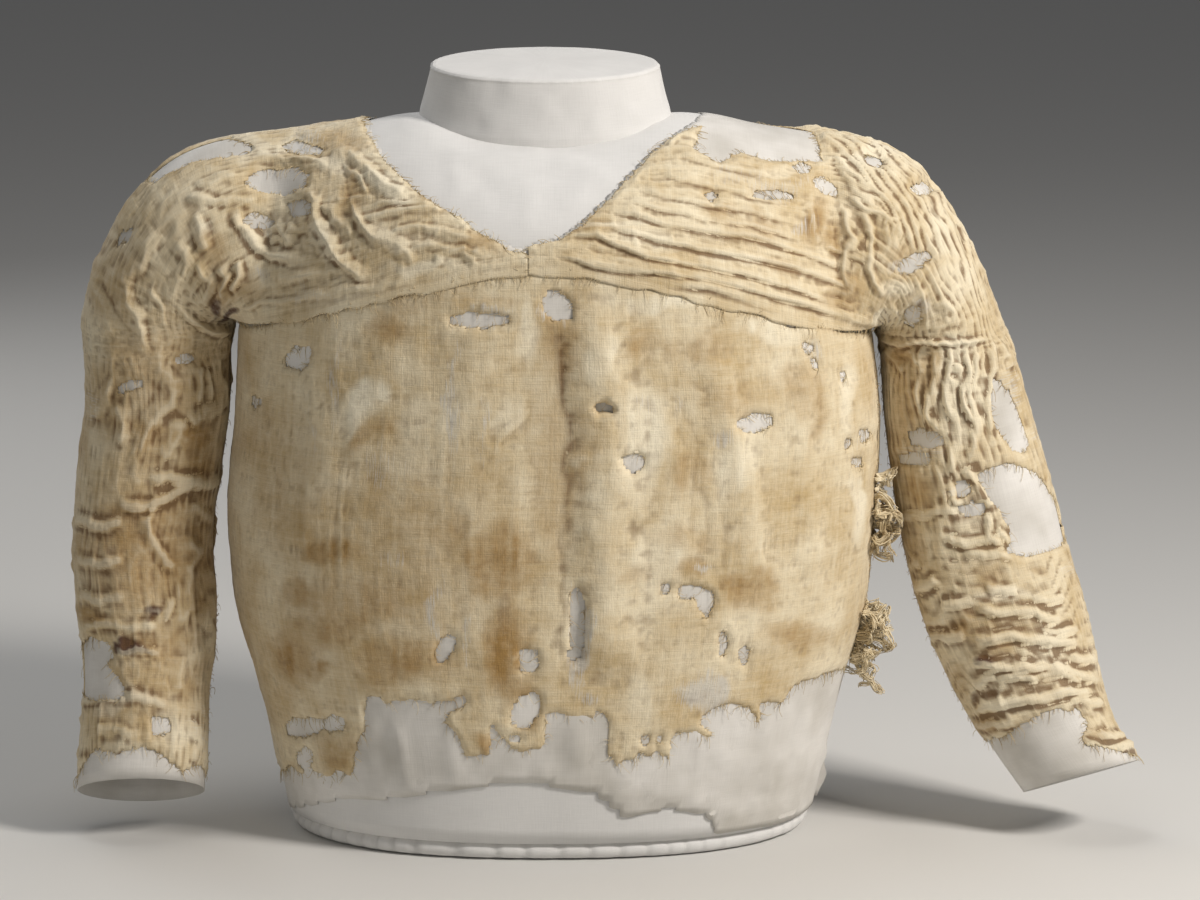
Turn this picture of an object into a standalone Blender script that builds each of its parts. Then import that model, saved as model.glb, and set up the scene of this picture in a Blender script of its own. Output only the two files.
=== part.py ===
"""A worn and torn linen dress with pleated yokes and sleeves, filled out on a limbless padded form.

The wearer faces -Y, +X is the wearer's left and +Z is up. The origin is the centre of the form's flat
underside. Every cloth piece is a panel: a flat pattern with its outline and holes, filled with triangles, laid
on a surface worked out from a few sections of the garment, and given its thickness along that surface's
outward direction.
"""

import math
from collections import namedtuple

import bmesh
import bpy
import numpy as np
from mathutils.geometry import delaunay_2d_cdt

# Cloth layers, as distances out from the garment's base surface
SEAM_GAP = 0.0003
LINING_INSIDE = 0.0008
LINING_OUTSIDE = 0.0018
LINEN_INSIDE = 0.0031
LINEN_OUTSIDE = 0.0047
FORM_EASE = 0.0005

# Points inside a panel stay this far from its edges and holes
MARGIN = 0.0045

# The tables' heights start this far above the form's underside
UNDERSIDE = 0.006

# Torso sections, from the underside up
Slice = namedtuple("Slice", "height half_width half_depth x_mid")
TORSO = (
    Slice(0.000, 0.2440, 0.163, -0.002),
    Slice(0.056, 0.2555, 0.170, 0.000),
    Slice(0.105, 0.2655, 0.175, 0.000),
    Slice(0.153, 0.2780, 0.179, 0.000),
    Slice(0.202, 0.2905, 0.183, 0.000),
    Slice(0.250, 0.2955, 0.185, 0.000),
    Slice(0.300, 0.2985, 0.187, 0.001),
    Slice(0.392, 0.2950, 0.187, 0.006),
    Slice(0.465, 0.2890, 0.186, 0.004),
    Slice(0.550, 0.2800, 0.184, 0.002),
)
TORSO_BOXINESS = 2.3

# The seam between yokes and skirt is highest near the middle and falls towards the armpits
SEAM_PEAK = 0.543
SEAM_DROP = 0.077
SEAM_MID = -0.03
SEAM_BEND = 1.45

# Height of the shoulder line against the distance from the middle
ShoulderPoint = namedtuple("ShoulderPoint", "out height")
SHOULDER = (
    ShoulderPoint(0.000, 0.650),
    ShoulderPoint(0.060, 0.654),
    ShoulderPoint(0.120, 0.6605),
    ShoulderPoint(0.190, 0.6488),
    ShoulderPoint(0.262, 0.6380),
)

# Yokes run from the centre seam out to the armhole, given as shares of the torso's half width
YOKE_CENTRE = -0.072
ARMHOLE = 0.88
YOKE_RIBS = 8
ARCH_STEPS = 16

# The support cloth of each side is sewn together from panels, round the arm at these ribs: under the armpit,
# and at the elbow too on the wearer's left, where the arm slants out
LINING_SEAMS = {"right": (16,), "left": (16, 21)}
LINING_PANELS = {
    "right": ("lining_yoke", "lining_sleeve"), "left": ("lining_yoke", "lining_upper_sleeve", "lining_forearm"),
}

# Ribs that fan round the armpit: outer end on each side, then the depth, the lower ends and how they lift off
FanRib = namedtuple("FanRib", "right_out right_up left_out left_up half_depth end_y rise shift")
FAN = (
    FanRib(0.3000, 0.634, 0.2900, 0.631, 0.0955, 0.088, 0.0020, 0.0010),
    FanRib(0.3380, 0.621, 0.3220, 0.617, 0.0915, 0.070, 0.0045, 0.0030),
    FanRib(0.3670, 0.600, 0.3460, 0.595, 0.0870, 0.052, 0.0065, 0.0050),
    FanRib(0.3920, 0.569, 0.3680, 0.565, 0.0810, 0.034, 0.0080, 0.0075),
    FanRib(0.4120, 0.530, 0.3900, 0.525, 0.0750, 0.018, 0.0075, 0.0100),
    FanRib(0.4245, 0.494, 0.4055, 0.490, 0.0700, 0.006, 0.0040, 0.0120),
    FanRib(0.4305, 0.466, 0.4165, 0.462, 0.0660, 0.000, -0.0030, 0.0130),
)

# Sleeve sections below the armpit: inner and outer edge in the front view, depth, and how far the plane tips
SleeveRib = namedtuple("SleeveRib", "inner_out inner_up outer_out outer_up y_mid half_depth tip_deg")
SLEEVES = {
    "right": (
        SleeveRib(0.3010, 0.452, 0.4300, 0.449, -0.001, 0.064, 0),
        SleeveRib(0.3030, 0.432, 0.4285, 0.432, -0.003, 0.063, 0),
        SleeveRib(0.3030, 0.392, 0.4280, 0.392, -0.006, 0.061, 0),
        SleeveRib(0.3090, 0.347, 0.4345, 0.347, -0.010, 0.060, 0),
        SleeveRib(0.3165, 0.300, 0.4395, 0.300, -0.015, 0.058, 0),
        SleeveRib(0.3195, 0.254, 0.4415, 0.254, -0.022, 0.056, 3),
        SleeveRib(0.3160, 0.208, 0.4385, 0.208, -0.030, 0.054, 6),
        SleeveRib(0.3170, 0.168, 0.4340, 0.168, -0.038, 0.052, 10),
        SleeveRib(0.3225, 0.126, 0.4325, 0.126, -0.048, 0.050, 15),
        SleeveRib(0.3235, 0.085, 0.4345, 0.085, -0.056, 0.049, 21),
        SleeveRib(0.3245, 0.036, 0.4395, 0.034, -0.066, 0.048, 28),
    ),
    "left": (
        SleeveRib(0.3095, 0.444, 0.4240, 0.446, -0.001, 0.064, 0),
        SleeveRib(0.3110, 0.420, 0.4285, 0.427, -0.003, 0.063, 0),
        SleeveRib(0.3145, 0.377, 0.4400, 0.388, -0.006, 0.061, 0),
        SleeveRib(0.3205, 0.330, 0.4525, 0.346, -0.010, 0.060, 0),
        SleeveRib(0.3275, 0.284, 0.4655, 0.305, -0.015, 0.058, 0),
        SleeveRib(0.3360, 0.245, 0.4755, 0.265, -0.020, 0.056, 2),
        SleeveRib(0.3465, 0.206, 0.4860, 0.230, -0.028, 0.054, 5),
        SleeveRib(0.3600, 0.169, 0.4955, 0.194, -0.036, 0.052, 8),
        SleeveRib(0.3780, 0.131, 0.5035, 0.157, -0.044, 0.050, 12),
        SleeveRib(0.3970, 0.098, 0.5115, 0.123, -0.051, 0.049, 15),
        SleeveRib(0.4185, 0.066, 0.5240, 0.092, -0.059, 0.048, 17),
        SleeveRib(0.4420, 0.034, 0.5460, 0.063, -0.066, 0.047, 18),
    ),
}
SIDES = {"right": -1, "left": 1}
UNDERARM_SLIT = 0.003

# Neck edges, from the front over the shoulder to the back: place across, and degrees over the arch
NeckPoint = namedtuple("NeckPoint", "x over_deg")
LINING_NECK = {
    "right": (
        NeckPoint(-0.0205, 5), NeckPoint(-0.045, 14), NeckPoint(-0.070, 22), NeckPoint(-0.098, 31),
        NeckPoint(-0.123, 39), NeckPoint(-0.142, 50), NeckPoint(-0.160, 68), NeckPoint(-0.168, 90),
        NeckPoint(-0.160, 108), NeckPoint(-0.140, 123), NeckPoint(-0.105, 137), NeckPoint(-0.060, 150),
        NeckPoint(-0.0205, 158),
    ),
    "left": (
        NeckPoint(-0.0205, 5), NeckPoint(0.005, 14), NeckPoint(0.028, 23), NeckPoint(0.048, 33),
        NeckPoint(0.068, 44), NeckPoint(0.088, 55), NeckPoint(0.112, 66), NeckPoint(0.132, 78),
        NeckPoint(0.140, 92), NeckPoint(0.135, 108), NeckPoint(0.115, 122), NeckPoint(0.080, 137),
        NeckPoint(0.030, 150), NeckPoint(-0.0205, 158),
    ),
}

# Lining hem: place across and height, front then back
HemPoint = namedtuple("HemPoint", "x height")
LINING_HEM_FRONT = (
    HemPoint(0.2442, 0.020), HemPoint(0.215, 0.024), HemPoint(0.174, 0.033), HemPoint(0.129, 0.050),
    HemPoint(0.105, 0.056), HemPoint(0.046, 0.064), HemPoint(-0.019, 0.069), HemPoint(-0.069, 0.066),
    HemPoint(-0.112, 0.057), HemPoint(-0.151, 0.047), HemPoint(-0.184, 0.044), HemPoint(-0.220, 0.026),
    HemPoint(-0.2450, 0.020),
)
LINING_HEM_BACK = 0.030
LINING_HEM_WAVE = 0.008

NAME = "tarkhan_dress"


def smooth(knots, values, places):
    """Read a smooth curve through the values at the knots: a cubic between each two, none going past its ends."""
    knots = np.asarray(knots, float)
    values = np.asarray(values, float)
    places = np.clip(places, knots[0], knots[-1])
    secants = np.diff(values) / np.diff(knots)
    slopes = np.gradient(values, knots)
    least = np.minimum(np.abs(secants[1:]), np.abs(secants[:-1])) * (secants[1:] * secants[:-1] > 0)
    slopes[1:-1] = np.clip(slopes[1:-1], -2 * least, 2 * least)
    low = np.clip(np.searchsorted(knots, places) - 1, 0, len(knots) - 2)
    span = knots[low + 1] - knots[low]
    t = (places - knots[low]) / span
    start = (2 * t**3 - 3 * t**2 + 1) * values[low] + (t**3 - 2 * t**2 + t) * span * slopes[low]
    end = (3 * t**2 - 2 * t**3) * values[low + 1] + (t**3 - t**2) * span * slopes[low + 1]
    return start + end


def torso_size(height):
    """Half width, half depth and middle of the torso at a height."""
    heights = [row.height for row in TORSO]
    return (
        smooth(heights, [row.half_width for row in TORSO], height),
        smooth(heights, [row.half_depth for row in TORSO], height),
        smooth(heights, [row.x_mid for row in TORSO], height),
    )


def depth_share(across):
    """Share of the half depth that a boxy oval has at a share of its half width, and the other way round."""
    return np.maximum(1 - np.abs(across) ** TORSO_BOXINESS, 0) ** (1 / TORSO_BOXINESS)


def torso_point(turn, height):
    """Point on the torso: turn 0 at the wearer's left side, then round the front, the right side and the back."""
    half_width, half_depth, x_mid = torso_size(height)
    power = 2 / TORSO_BOXINESS
    across = np.sign(np.cos(turn)) * np.abs(np.cos(turn)) ** power
    forward = np.sign(np.sin(turn)) * np.abs(np.sin(turn)) ** power
    return np.stack([x_mid + half_width * across, -half_depth * forward, height + 0 * turn], axis=-1)


def seam_height(across):
    """Height of the seam between the yokes and the skirt."""
    return SEAM_PEAK - SEAM_DROP * np.abs(across - SEAM_MID) ** SEAM_BEND


def turn_of(across, front=True):
    """Turn round the torso of a share of its half width, on the front or the back."""
    sideways = np.sign(across) * np.abs(across) ** (TORSO_BOXINESS / 2)
    turn = np.arctan2(depth_share(across) ** (TORSO_BOXINESS / 2), sideways)
    return turn if front else 2 * np.pi - turn


def seam_at_turn(turn):
    """Height of the yoke seam at a turn round the torso."""
    return seam_height(np.sign(np.cos(turn)) * np.abs(np.cos(turn)) ** (2 / TORSO_BOXINESS))


def arch(across):
    """Foot, depth and rise of the arch that the yokes make over the shoulders."""
    foot = seam_height(across)
    half_width, half_depth, x_mid = torso_size(foot)
    x = x_mid + half_width * across
    top = smooth([row.out for row in SHOULDER], [row.height for row in SHOULDER], np.abs(x))
    return x, foot, half_depth * depth_share(across), top - foot


def across_of(x):
    """Share of the torso's half width at the seam for a place across."""
    shares = np.linspace(-1, 1, 401)
    return np.interp(x, arch(shares)[0], shares)


def rib_rows(side):
    """All ribs of one yoke and sleeve: inner end, outer end, middle, half depth, closing and tip, a row each."""
    sign = SIDES[side]
    rows = []
    for across in np.linspace(YOKE_CENTRE, sign * ARMHOLE, YOKE_RIBS + 1):
        x, foot, half_depth, rise = arch(across)
        rows.append([x, foot, x, foot + rise, 0, half_depth, 0, 0])
    rows[0][0] = rows[0][2] = rows[0][0] + sign * SEAM_GAP / 2
    half_width, half_depth, x_mid = torso_size(seam_height(sign))
    for row in FAN:
        share = depth_share(row.end_y / half_depth)
        foot = seam_height(sign * share) + row.rise
        edge = half_width * share + row.shift
        closing = math.sqrt(1 - (row.end_y / row.half_depth) ** 2)
        out, up = (row.right_out, row.right_up) if side == "right" else (row.left_out, row.left_up)
        rows.append([x_mid + sign * edge, foot, sign * out, up, 0, row.half_depth, closing, 0])
    for row in SLEEVES[side]:
        ends = [sign * row.inner_out, row.inner_up, sign * row.outer_out, row.outer_up]
        rows.append(ends + [row.y_mid, row.half_depth, 1, math.radians(row.tip_deg)])
    return np.array(rows)


RIB_PITCH = 0.03
GIRTH = 0.42


def sleeve_surface(side):
    """Surface of one yoke and sleeve as a function of the pattern: along in rib pitches, around in girths."""
    rows = rib_rows(side)
    numbers = np.arange(len(rows))

    def surface(along, around):
        place = np.asarray(along) / RIB_PITCH
        inner_x, inner_z, outer_x, outer_z, y_mid, half_depth, closing, tip = (
            smooth(numbers, rows[:, column], place) for column in range(rows.shape[1])
        )
        closing = np.clip(closing, 0, 1)
        reach = np.hypot(outer_x - inner_x, outer_z - inner_z)
        up_x = (outer_x - inner_x) / reach
        up_z = (outer_z - inner_z) / reach
        half_height = reach / (1 + closing)
        start = -np.arcsin(closing) + UNDERARM_SLIT * closing
        angle = start + (np.pi - 2 * start) * np.asarray(around) / GIRTH
        rise = half_height * (closing + np.sin(angle))
        back = -half_depth * np.cos(angle)
        seam = SEAM_GAP / 2
        return np.stack(
            [
                inner_x + up_x * rise,
                y_mid + back * np.cos(tip),
                inner_z + up_z * rise - back * np.sin(tip) + seam,
            ],
            axis=-1,
        )

    return surface


TORSO_PITCH = 0.24


def skirt_surface(along, around):
    """Surface of the skirt as a function of the pattern: along in turns, around as height."""
    return torso_point(np.asarray(along) / TORSO_PITCH, np.asarray(around))


def raised(surface, sign, pattern, height):
    """Points of a surface moved out along its outward direction."""
    along, around = pattern[:, 0], pattern[:, 1]
    step = 2e-4
    d_along = surface(along + step, around) - surface(along - step, around)
    d_around = surface(along, around + step) - surface(along, around - step)
    normal = sign * np.cross(d_along, d_around)
    normal /= np.linalg.norm(normal, axis=1)[:, None]
    return surface(along, around) + normal * np.asarray(height).reshape(-1, 1)


def inside(points, loop):
    """Which points lie inside a closed loop, by counting the edges that a ray along +X crosses."""
    x, y = points[:, 0][:, None], points[:, 1][:, None]
    x0, y0 = loop[:, 0], loop[:, 1]
    x1, y1 = np.roll(x0, -1), np.roll(y0, -1)
    spans = (y0 > y) != (y1 > y)
    slope = np.where(y1 == y0, 1, y1 - y0)
    crossing = x0 + (y - y0) * (x1 - x0) / slope
    return (np.sum(spans & (crossing > x), axis=1) % 2) == 1


def distance_to(points, loop):
    """Distance from each point to the nearest edge of a loop."""
    start = loop[None, :, :]
    edge = np.roll(loop, -1, axis=0)[None, :, :] - start
    offset = points[:, None, :] - start
    share = np.clip(np.sum(offset * edge, axis=2) / np.maximum(np.sum(edge**2, axis=2), 1e-12), 0, 1)
    return np.min(np.linalg.norm(offset - share[..., None] * edge, axis=2), axis=1)


def apart(start, end, loop):
    """Which segments, given by their ends, cross no edge of a loop."""
    def side(a, b, c):
        ahead, to = b - a, c - a
        return ahead[..., 0] * to[..., 1] - ahead[..., 1] * to[..., 0]

    here, there = start[:, None], end[:, None]
    low, high = loop[None], np.roll(loop, -1, axis=0)[None]
    across = side(here, there, low) * side(here, there, high) < 0
    across &= side(low, high, here) * side(low, high, there) < 0
    return ~across.any(axis=1)


def clear_of(points, loops, margin):
    """Which points lie inside an outline and outside its holes, well away from their edges."""
    keep = inside(points, loops[0])
    for hole in loops[1:]:
        keep &= ~inside(points, hole)
    for loop in loops:
        keep &= distance_to(points, loop) > margin
    return keep


def without_slivers(corners, triangles):
    """Drop the flat triangles that lie along a straight run of an outline, where nothing joins their long side."""
    ahead = corners[triangles[:, 1]] - corners[triangles[:, 0]]
    across = corners[triangles[:, 2]] - corners[triangles[:, 0]]
    flat = np.abs(ahead[:, 0] * across[:, 1] - ahead[:, 1] * across[:, 0]) < 1e-10
    joined = {frozenset((face[i], face[i - 1])) for face in triangles[~flat].tolist() for i in range(3)}
    needed = []
    for face in triangles[flat].tolist():
        sides = [(face[i], face[i - 1]) for i in range(3)]
        longest = max(sides, key=lambda side: np.linalg.norm(corners[side[0]] - corners[side[1]]))
        if frozenset(longest) in joined:
            needed.append(face)
    return np.array(triangles[~flat].tolist() + needed)


def triangulated(loops, points, lines=None):
    """Fill a pattern, an outline and its holes, with triangles through points inside it and along given lines."""
    corners = np.vstack(loops + [points])
    edges = []
    first = 0
    for loop in loops:
        count = len(loop)
        edges += [(first + i, first + (i + 1) % count) for i in range(count)]
        first += count
    if lines is not None:
        edges += lines(corners)
    result = delaunay_2d_cdt([tuple(corner) for corner in corners], edges, [], 0, 1e-7, True)
    places, triangles, sources = result[0], result[2], result[3]
    if len(places) != len(corners):
        raise ValueError("outline, holes or lines cross each other")
    order = np.array([source[0] for source in sources])
    triangles = order[np.array([list(triangle) for triangle in triangles])]
    centres = corners[triangles].mean(axis=1)
    kept = inside(centres, loops[0])
    for hole in loops[1:]:
        kept &= ~inside(centres, hole)
    return corners, without_slivers(corners, triangles[kept])


def straight_marks(grid):
    """Places of a grid's columns, and of its rows where those are straight."""
    marks = [np.unique(np.round(grid[..., axis], 9)) for axis in (0, 1)]
    return marks if len(marks[1]) == grid.shape[1] else marks[:1]


def grid_lines(grid, corners, loops):
    """Pairs of corners next to each other on a grid's column or row, with no grid point or loop edge between."""
    pairs = []
    nodes = grid.reshape(-1, 2)
    for axis, places in enumerate(straight_marks(grid)):
        for place in places:
            on = np.flatnonzero(np.abs(corners[:, axis] - place) < 1e-7)
            on = on[np.argsort(corners[on, 1 - axis])]
            stops = np.sort(nodes[np.abs(nodes[:, axis] - place) < 1e-7, 1 - axis])
            low = np.searchsorted(stops, corners[on[:-1], 1 - axis] + 1e-7)
            high = np.searchsorted(stops, corners[on[1:], 1 - axis] - 1e-7)
            pairs += [pair for pair, free in zip(zip(on[:-1], on[1:]), low == high) if free]
    pairs = np.array(pairs)
    start, end = corners[pairs[:, 0]], corners[pairs[:, 1]]
    middle = (start + end) / 2
    keep = inside(middle, loops[0])
    for hole in loops[1:]:
        keep &= ~inside(middle, hole)
    for loop in loops:
        keep &= apart(start, end, loop) & (distance_to(middle, loop) > 1e-5)
    return pairs[keep].tolist()


def inward_diagonals(grid, corners, loops, surface, sign):
    """One diagonal of each whole grid cell, the one that lies further in, so that layers fold the same way."""
    places = {tuple(np.round(corner, 7)): number for number, corner in enumerate(corners)}
    numbers = np.array([places.get(tuple(np.round(point, 7)), -1) for point in grid.reshape(-1, 2)])
    numbers = numbers.reshape(grid.shape[:2])
    cells = [numbers[:-1, :-1], numbers[1:, :-1], numbers[1:, 1:], numbers[:-1, 1:]]
    cells = np.stack(cells, axis=-1).reshape(-1, 4)
    cells = cells[(cells >= 0).all(axis=1)]
    pattern = corners[cells]
    points = surface(pattern[..., 0], pattern[..., 1])
    middle = pattern.mean(axis=1)
    outward = raised(surface, sign, middle, np.ones(len(middle))) - surface(middle[:, 0], middle[:, 1])
    further = points[:, 0] + points[:, 2] - points[:, 1] - points[:, 3]
    first = np.einsum("ij,ij->i", further, outward) < 0
    pairs = np.where(first[:, None], cells[:, [0, 2]], cells[:, [1, 3]])
    start, end = corners[pairs[:, 0]], corners[pairs[:, 1]]
    keep = np.ones(len(pairs), bool)
    for hole in loops[1:]:
        keep &= ~inside(middle, hole)
    for loop in loops:
        keep &= apart(start, end, loop)
    return pairs[keep].tolist()


def cut_at_grid(loop, grid):
    """Split a loop's edges where they cross the columns of a grid, and its rows where those are straight."""
    marks = straight_marks(grid)
    result = []
    for start, end in zip(loop, np.roll(loop, -1, axis=0)):
        step = end - start
        length = np.linalg.norm(step)
        shares = [0.0]
        for axis, places in enumerate(marks):
            if abs(step[axis]) > 1e-9:
                shares += [share for share in (places - start[axis]) / step[axis] if 0 < share < 1]
        for share in sorted(shares):
            if share == 0 or MARGIN / 3 < (share - last) * length and MARGIN / 3 < (1 - share) * length:
                result.append(start + step * share)
                last = share
    return np.array(result)


def cloth_panel(name, surface, sign, loops, grid, inner_lift, outer_lift, material, rows=None, relief=None):
    """Build one cloth panel as a closed wall: a plain inside, and an outside that may carry pleats."""
    loops = [cut_at_grid(loop, grid) for loop in loops]
    keep = clear_of(grid.reshape(-1, 2), loops, MARGIN)
    plain = grid.reshape(-1, 2)[keep]

    def lines(corners):
        return grid_lines(grid, corners, loops) + inward_diagonals(grid, corners, loops, surface, sign)

    inner_pattern, inner_faces = triangulated(loops, plain, lines)
    outer_pattern, outer_faces = inner_pattern, inner_faces
    if rows is not None:
        outer_pattern, outer_faces = triangulated(loops, rows[clear_of(rows, loops, MARGIN)])
    lift = outer_lift if relief is None else outer_lift + relief(outer_pattern)
    outer = raised(surface, sign, outer_pattern, np.broadcast_to(lift, len(outer_pattern)))
    inner = raised(surface, sign, inner_pattern, np.full(len(inner_pattern), inner_lift))
    shift = len(outer)
    faces = [tuple(face) for face in outer_faces.tolist()]
    faces += [tuple(shift + corner for corner in reversed(face)) for face in inner_faces.tolist()]
    first = 0
    for loop in loops:
        count = len(loop)
        for i in range(count):
            here, there = first + i, first + (i + 1) % count
            faces.append((here, there, shift + there, shift + here))
        first += count
    mesh = bpy.data.meshes.new(name)
    mesh.from_pydata(np.vstack([outer, inner]).tolist(), [], faces)
    return finished(name, mesh, material)


def finished(name, mesh, material):
    """Turn a mesh's faces outwards, shade it smooth and put it in the scene as an object."""
    bm = bmesh.new()
    bm.from_mesh(mesh)
    bmesh.ops.triangulate(bm, faces=bm.faces)
    bmesh.ops.recalc_face_normals(bm, faces=bm.faces)
    if bm.calc_volume(signed=True) < 0:
        bmesh.ops.reverse_faces(bm, faces=bm.faces)
    bm.to_mesh(mesh)
    bm.free()
    mesh.materials.append(material)
    mesh.shade_smooth()
    mesh.set_sharp_from_angle(angle=math.radians(50))
    piece = bpy.data.objects.new(name, mesh)
    piece.location.z = UNDERSIDE
    bpy.data.collections[NAME].objects.link(piece)
    return piece


def plain_material(name, hex_colour, roughness):
    """A matt cloth or padding material of one colour, given as an sRGB hex value."""
    channels = [int(hex_colour[i:i + 2], 16) / 255 for i in (0, 2, 4)]
    linear = [c / 12.92 if c <= 0.04045 else ((c + 0.055) / 1.055) ** 2.4 for c in channels]
    material = bpy.data.materials.new(name)
    material.use_nodes = True
    shader = material.node_tree.nodes["Principled BSDF"]
    shader.inputs["Base Color"].default_value = (*linear, 1)
    shader.inputs["Roughness"].default_value = roughness
    shader.inputs["Metallic"].default_value = 0
    return material


def dense(loop, longest):
    """Split the edges of a closed loop so that none is longer than the length given."""
    result = []
    for start, end in zip(loop, np.roll(loop, -1, axis=0)):
        parts = max(1, math.ceil(np.linalg.norm(end - start) / longest - 1e-6))
        result += [start + (end - start) * i / parts for i in range(parts)]
    return np.array(result)


# Columns of the torso: the yoke's ribs on both sides, the rounded armhole ends, and steps round each side
END_SHARES = (0.905, 0.925, 0.94)
END_BULGES = (0.030, 0.028, 0.021)
END_RISES = (0.150, 0.105, 0.052)
END_EASE = 0.0040


def torso_columns():
    """Shares across of the form's columns, from the wearer's right to the left."""
    right = np.linspace(-ARMHOLE, YOKE_CENTRE, YOKE_RIBS + 1)
    left = np.linspace(YOKE_CENTRE, ARMHOLE, YOKE_RIBS + 1)
    ends = np.array(END_SHARES)
    return np.concatenate([-ends[::-1], right, left[1:], ends])


def side_turns():
    """Turns of the steps round the wearer's left side, from the front corner to the back corner."""
    corner = depth_share(END_SHARES[-1])
    forward = corner * np.cos(np.pi * np.arange(1, ARCH_STEPS) / ARCH_STEPS)
    return np.arctan2(np.sign(forward) * np.abs(forward) ** (TORSO_BOXINESS / 2),
                      depth_share(forward) ** (TORSO_BOXINESS / 2))


def ring_turns():
    """Turns of all the form's columns, once round from the wearer's left front corner."""
    shares = torso_columns()[::-1]
    sides = side_turns()
    return np.concatenate([
        turn_of(shares), np.pi - sides, turn_of(shares[::-1], front=False), 2 * np.pi + sides[::-1],
    ])


def grid_faces(rows, columns, first=0):
    """Faces between closed rings of points that follow each other, each with the same number of points."""
    faces = []
    for row in range(rows - 1):
        for column in range(columns):
            here = first + row * columns + column
            beside = first + row * columns + (column + 1) % columns
            faces.append((here, beside, beside + columns, here + columns))
    return faces


def lofted(name, rings, material):
    """Build a closed solid from rings of points, with a flat face over the first and the last."""
    columns = len(rings[0])
    faces = grid_faces(len(rings), columns)
    faces.append(tuple(range(columns)))
    faces.append(tuple(range((len(rings) - 1) * columns, len(rings) * columns)))
    mesh = bpy.data.meshes.new(name)
    mesh.from_pydata(np.vstack(rings).tolist(), [], faces)
    return finished(name, mesh, material)


# Form: its wall is cut back over the gathered roll, and its levels are shares of the way up to the yoke seam
ROLL_RADIUS = 0.0078
ROLL_STEP = 0.0108
ROLL_INSET = 0.0085
ROLL_ROOM = 0.0215
FORM_LEVELS = (0.20, 0.42, 0.62, 0.81, 1.00)

# Neck stub: rings from inside the shoulders up to its sloping top
NeckRing = namedtuple("NeckRing", "height half_width half_depth")
NECK = (
    NeckRing(0.600, 0.1120, 0.078),
    NeckRing(0.655, 0.1175, 0.083),
    NeckRing(0.690, 0.1080, 0.075),
    NeckRing(0.703, 0.1045, 0.072),
    NeckRing(0.709, 0.1000, 0.068),
)
NECK_SIDES = 26
NECK_X = -0.005
NECK_SLOPE = math.tan(math.radians(6))


def form_rings(turns):
    """Rings of the form's wall, from its underside up to the yoke seam."""
    def ring(heights, inset):
        points = torso_point(turns, heights)
        flat = points[:, :2]
        length = np.linalg.norm(flat, axis=1)[:, None]
        points[:, :2] = flat * (1 - inset / length)
        return points

    level = np.zeros(len(turns))
    rings = [ring(level - UNDERSIDE, ROLL_ROOM)]
    rings += [ring(level + ROLL_STEP, ROLL_ROOM), ring(level + ROLL_STEP, FORM_EASE)]
    top = seam_at_turn(turns) - ROLL_STEP
    return rings + [ring(ROLL_STEP + top * share, FORM_EASE) for share in FORM_LEVELS]


def arch_points(share):
    """Inner points of one arch of the form over the shoulders, without its two feet."""
    x, foot, half_depth, rise = arch(share)
    half_depth, rise = half_depth - FORM_EASE, rise - FORM_EASE
    bulge = 0
    if abs(share) > ARMHOLE + 1e-6:
        number = END_SHARES.index(round(abs(share), 6))
        bulge = math.copysign(END_BULGES[number], share)
        half_depth, rise = half_depth - END_EASE, END_RISES[number]
    angle = np.pi * np.arange(1, ARCH_STEPS) / ARCH_STEPS
    lift = np.sin(angle)
    return np.stack([x + bulge * lift, -half_depth * np.cos(angle), foot + rise * lift], axis=1)


def build_form(material, guides):
    """The limbless padded form: wall, shoulders with closed armholes, and a neck stub with a sloping top."""
    turns = ring_turns()
    rings = form_rings(turns)
    around = len(turns)
    faces = grid_faces(len(rings), around)
    faces.append(tuple(range(around)))
    shares = torso_columns()
    count = len(shares)
    steps = ARCH_STEPS
    top = (len(rings) - 1) * around
    first = len(rings) * around
    columns = [[count - 1] + list(range(count, count + steps - 1)) + [count + steps - 1]]
    for j in range(count):
        inner = [first - top + j * (steps - 1) + k for k in range(steps - 1)]
        columns.append([count - 1 - j] + inner + [count + steps - 1 + j])
    side = list(range(2 * count + steps - 1, 2 * count + 2 * steps - 2))
    columns.append([0] + side[::-1] + [2 * count + steps - 2])
    for near, far in zip(columns, columns[1:]):
        for k in range(steps):
            corners = [near[k], near[k + 1], far[k + 1], far[k]]
            corners = list(dict.fromkeys(corners))
            if len(corners) > 2:
                faces.append(tuple(top + corner for corner in corners))
    points = np.vstack(rings + [arch_points(share) for share in shares])
    mesh = bpy.data.meshes.new("form")
    mesh.from_pydata(points.tolist(), [], faces)
    form = finished("form", mesh, material)

    angle = 2 * np.pi * np.arange(NECK_SIDES) / NECK_SIDES
    neck_rings = []
    for row in NECK:
        y = row.half_depth * np.sin(angle)
        slope = NECK_SLOPE if row.height > NECK[0].height else 0
        neck_rings.append(np.stack([NECK_X + row.half_width * np.cos(angle), y, row.height + slope * y], axis=1))
    neck = lofted("neck_guide", neck_rings, material)
    bpy.data.collections[NAME].objects.unlink(neck)
    guides.objects.link(neck)
    neck.hide_render = True
    neck.display_type = "WIRE"
    union = form.modifiers.new("neck", "BOOLEAN")
    union.operation = "UNION"
    union.object = neck
    return form


ROLL_SIDES = 5


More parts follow.
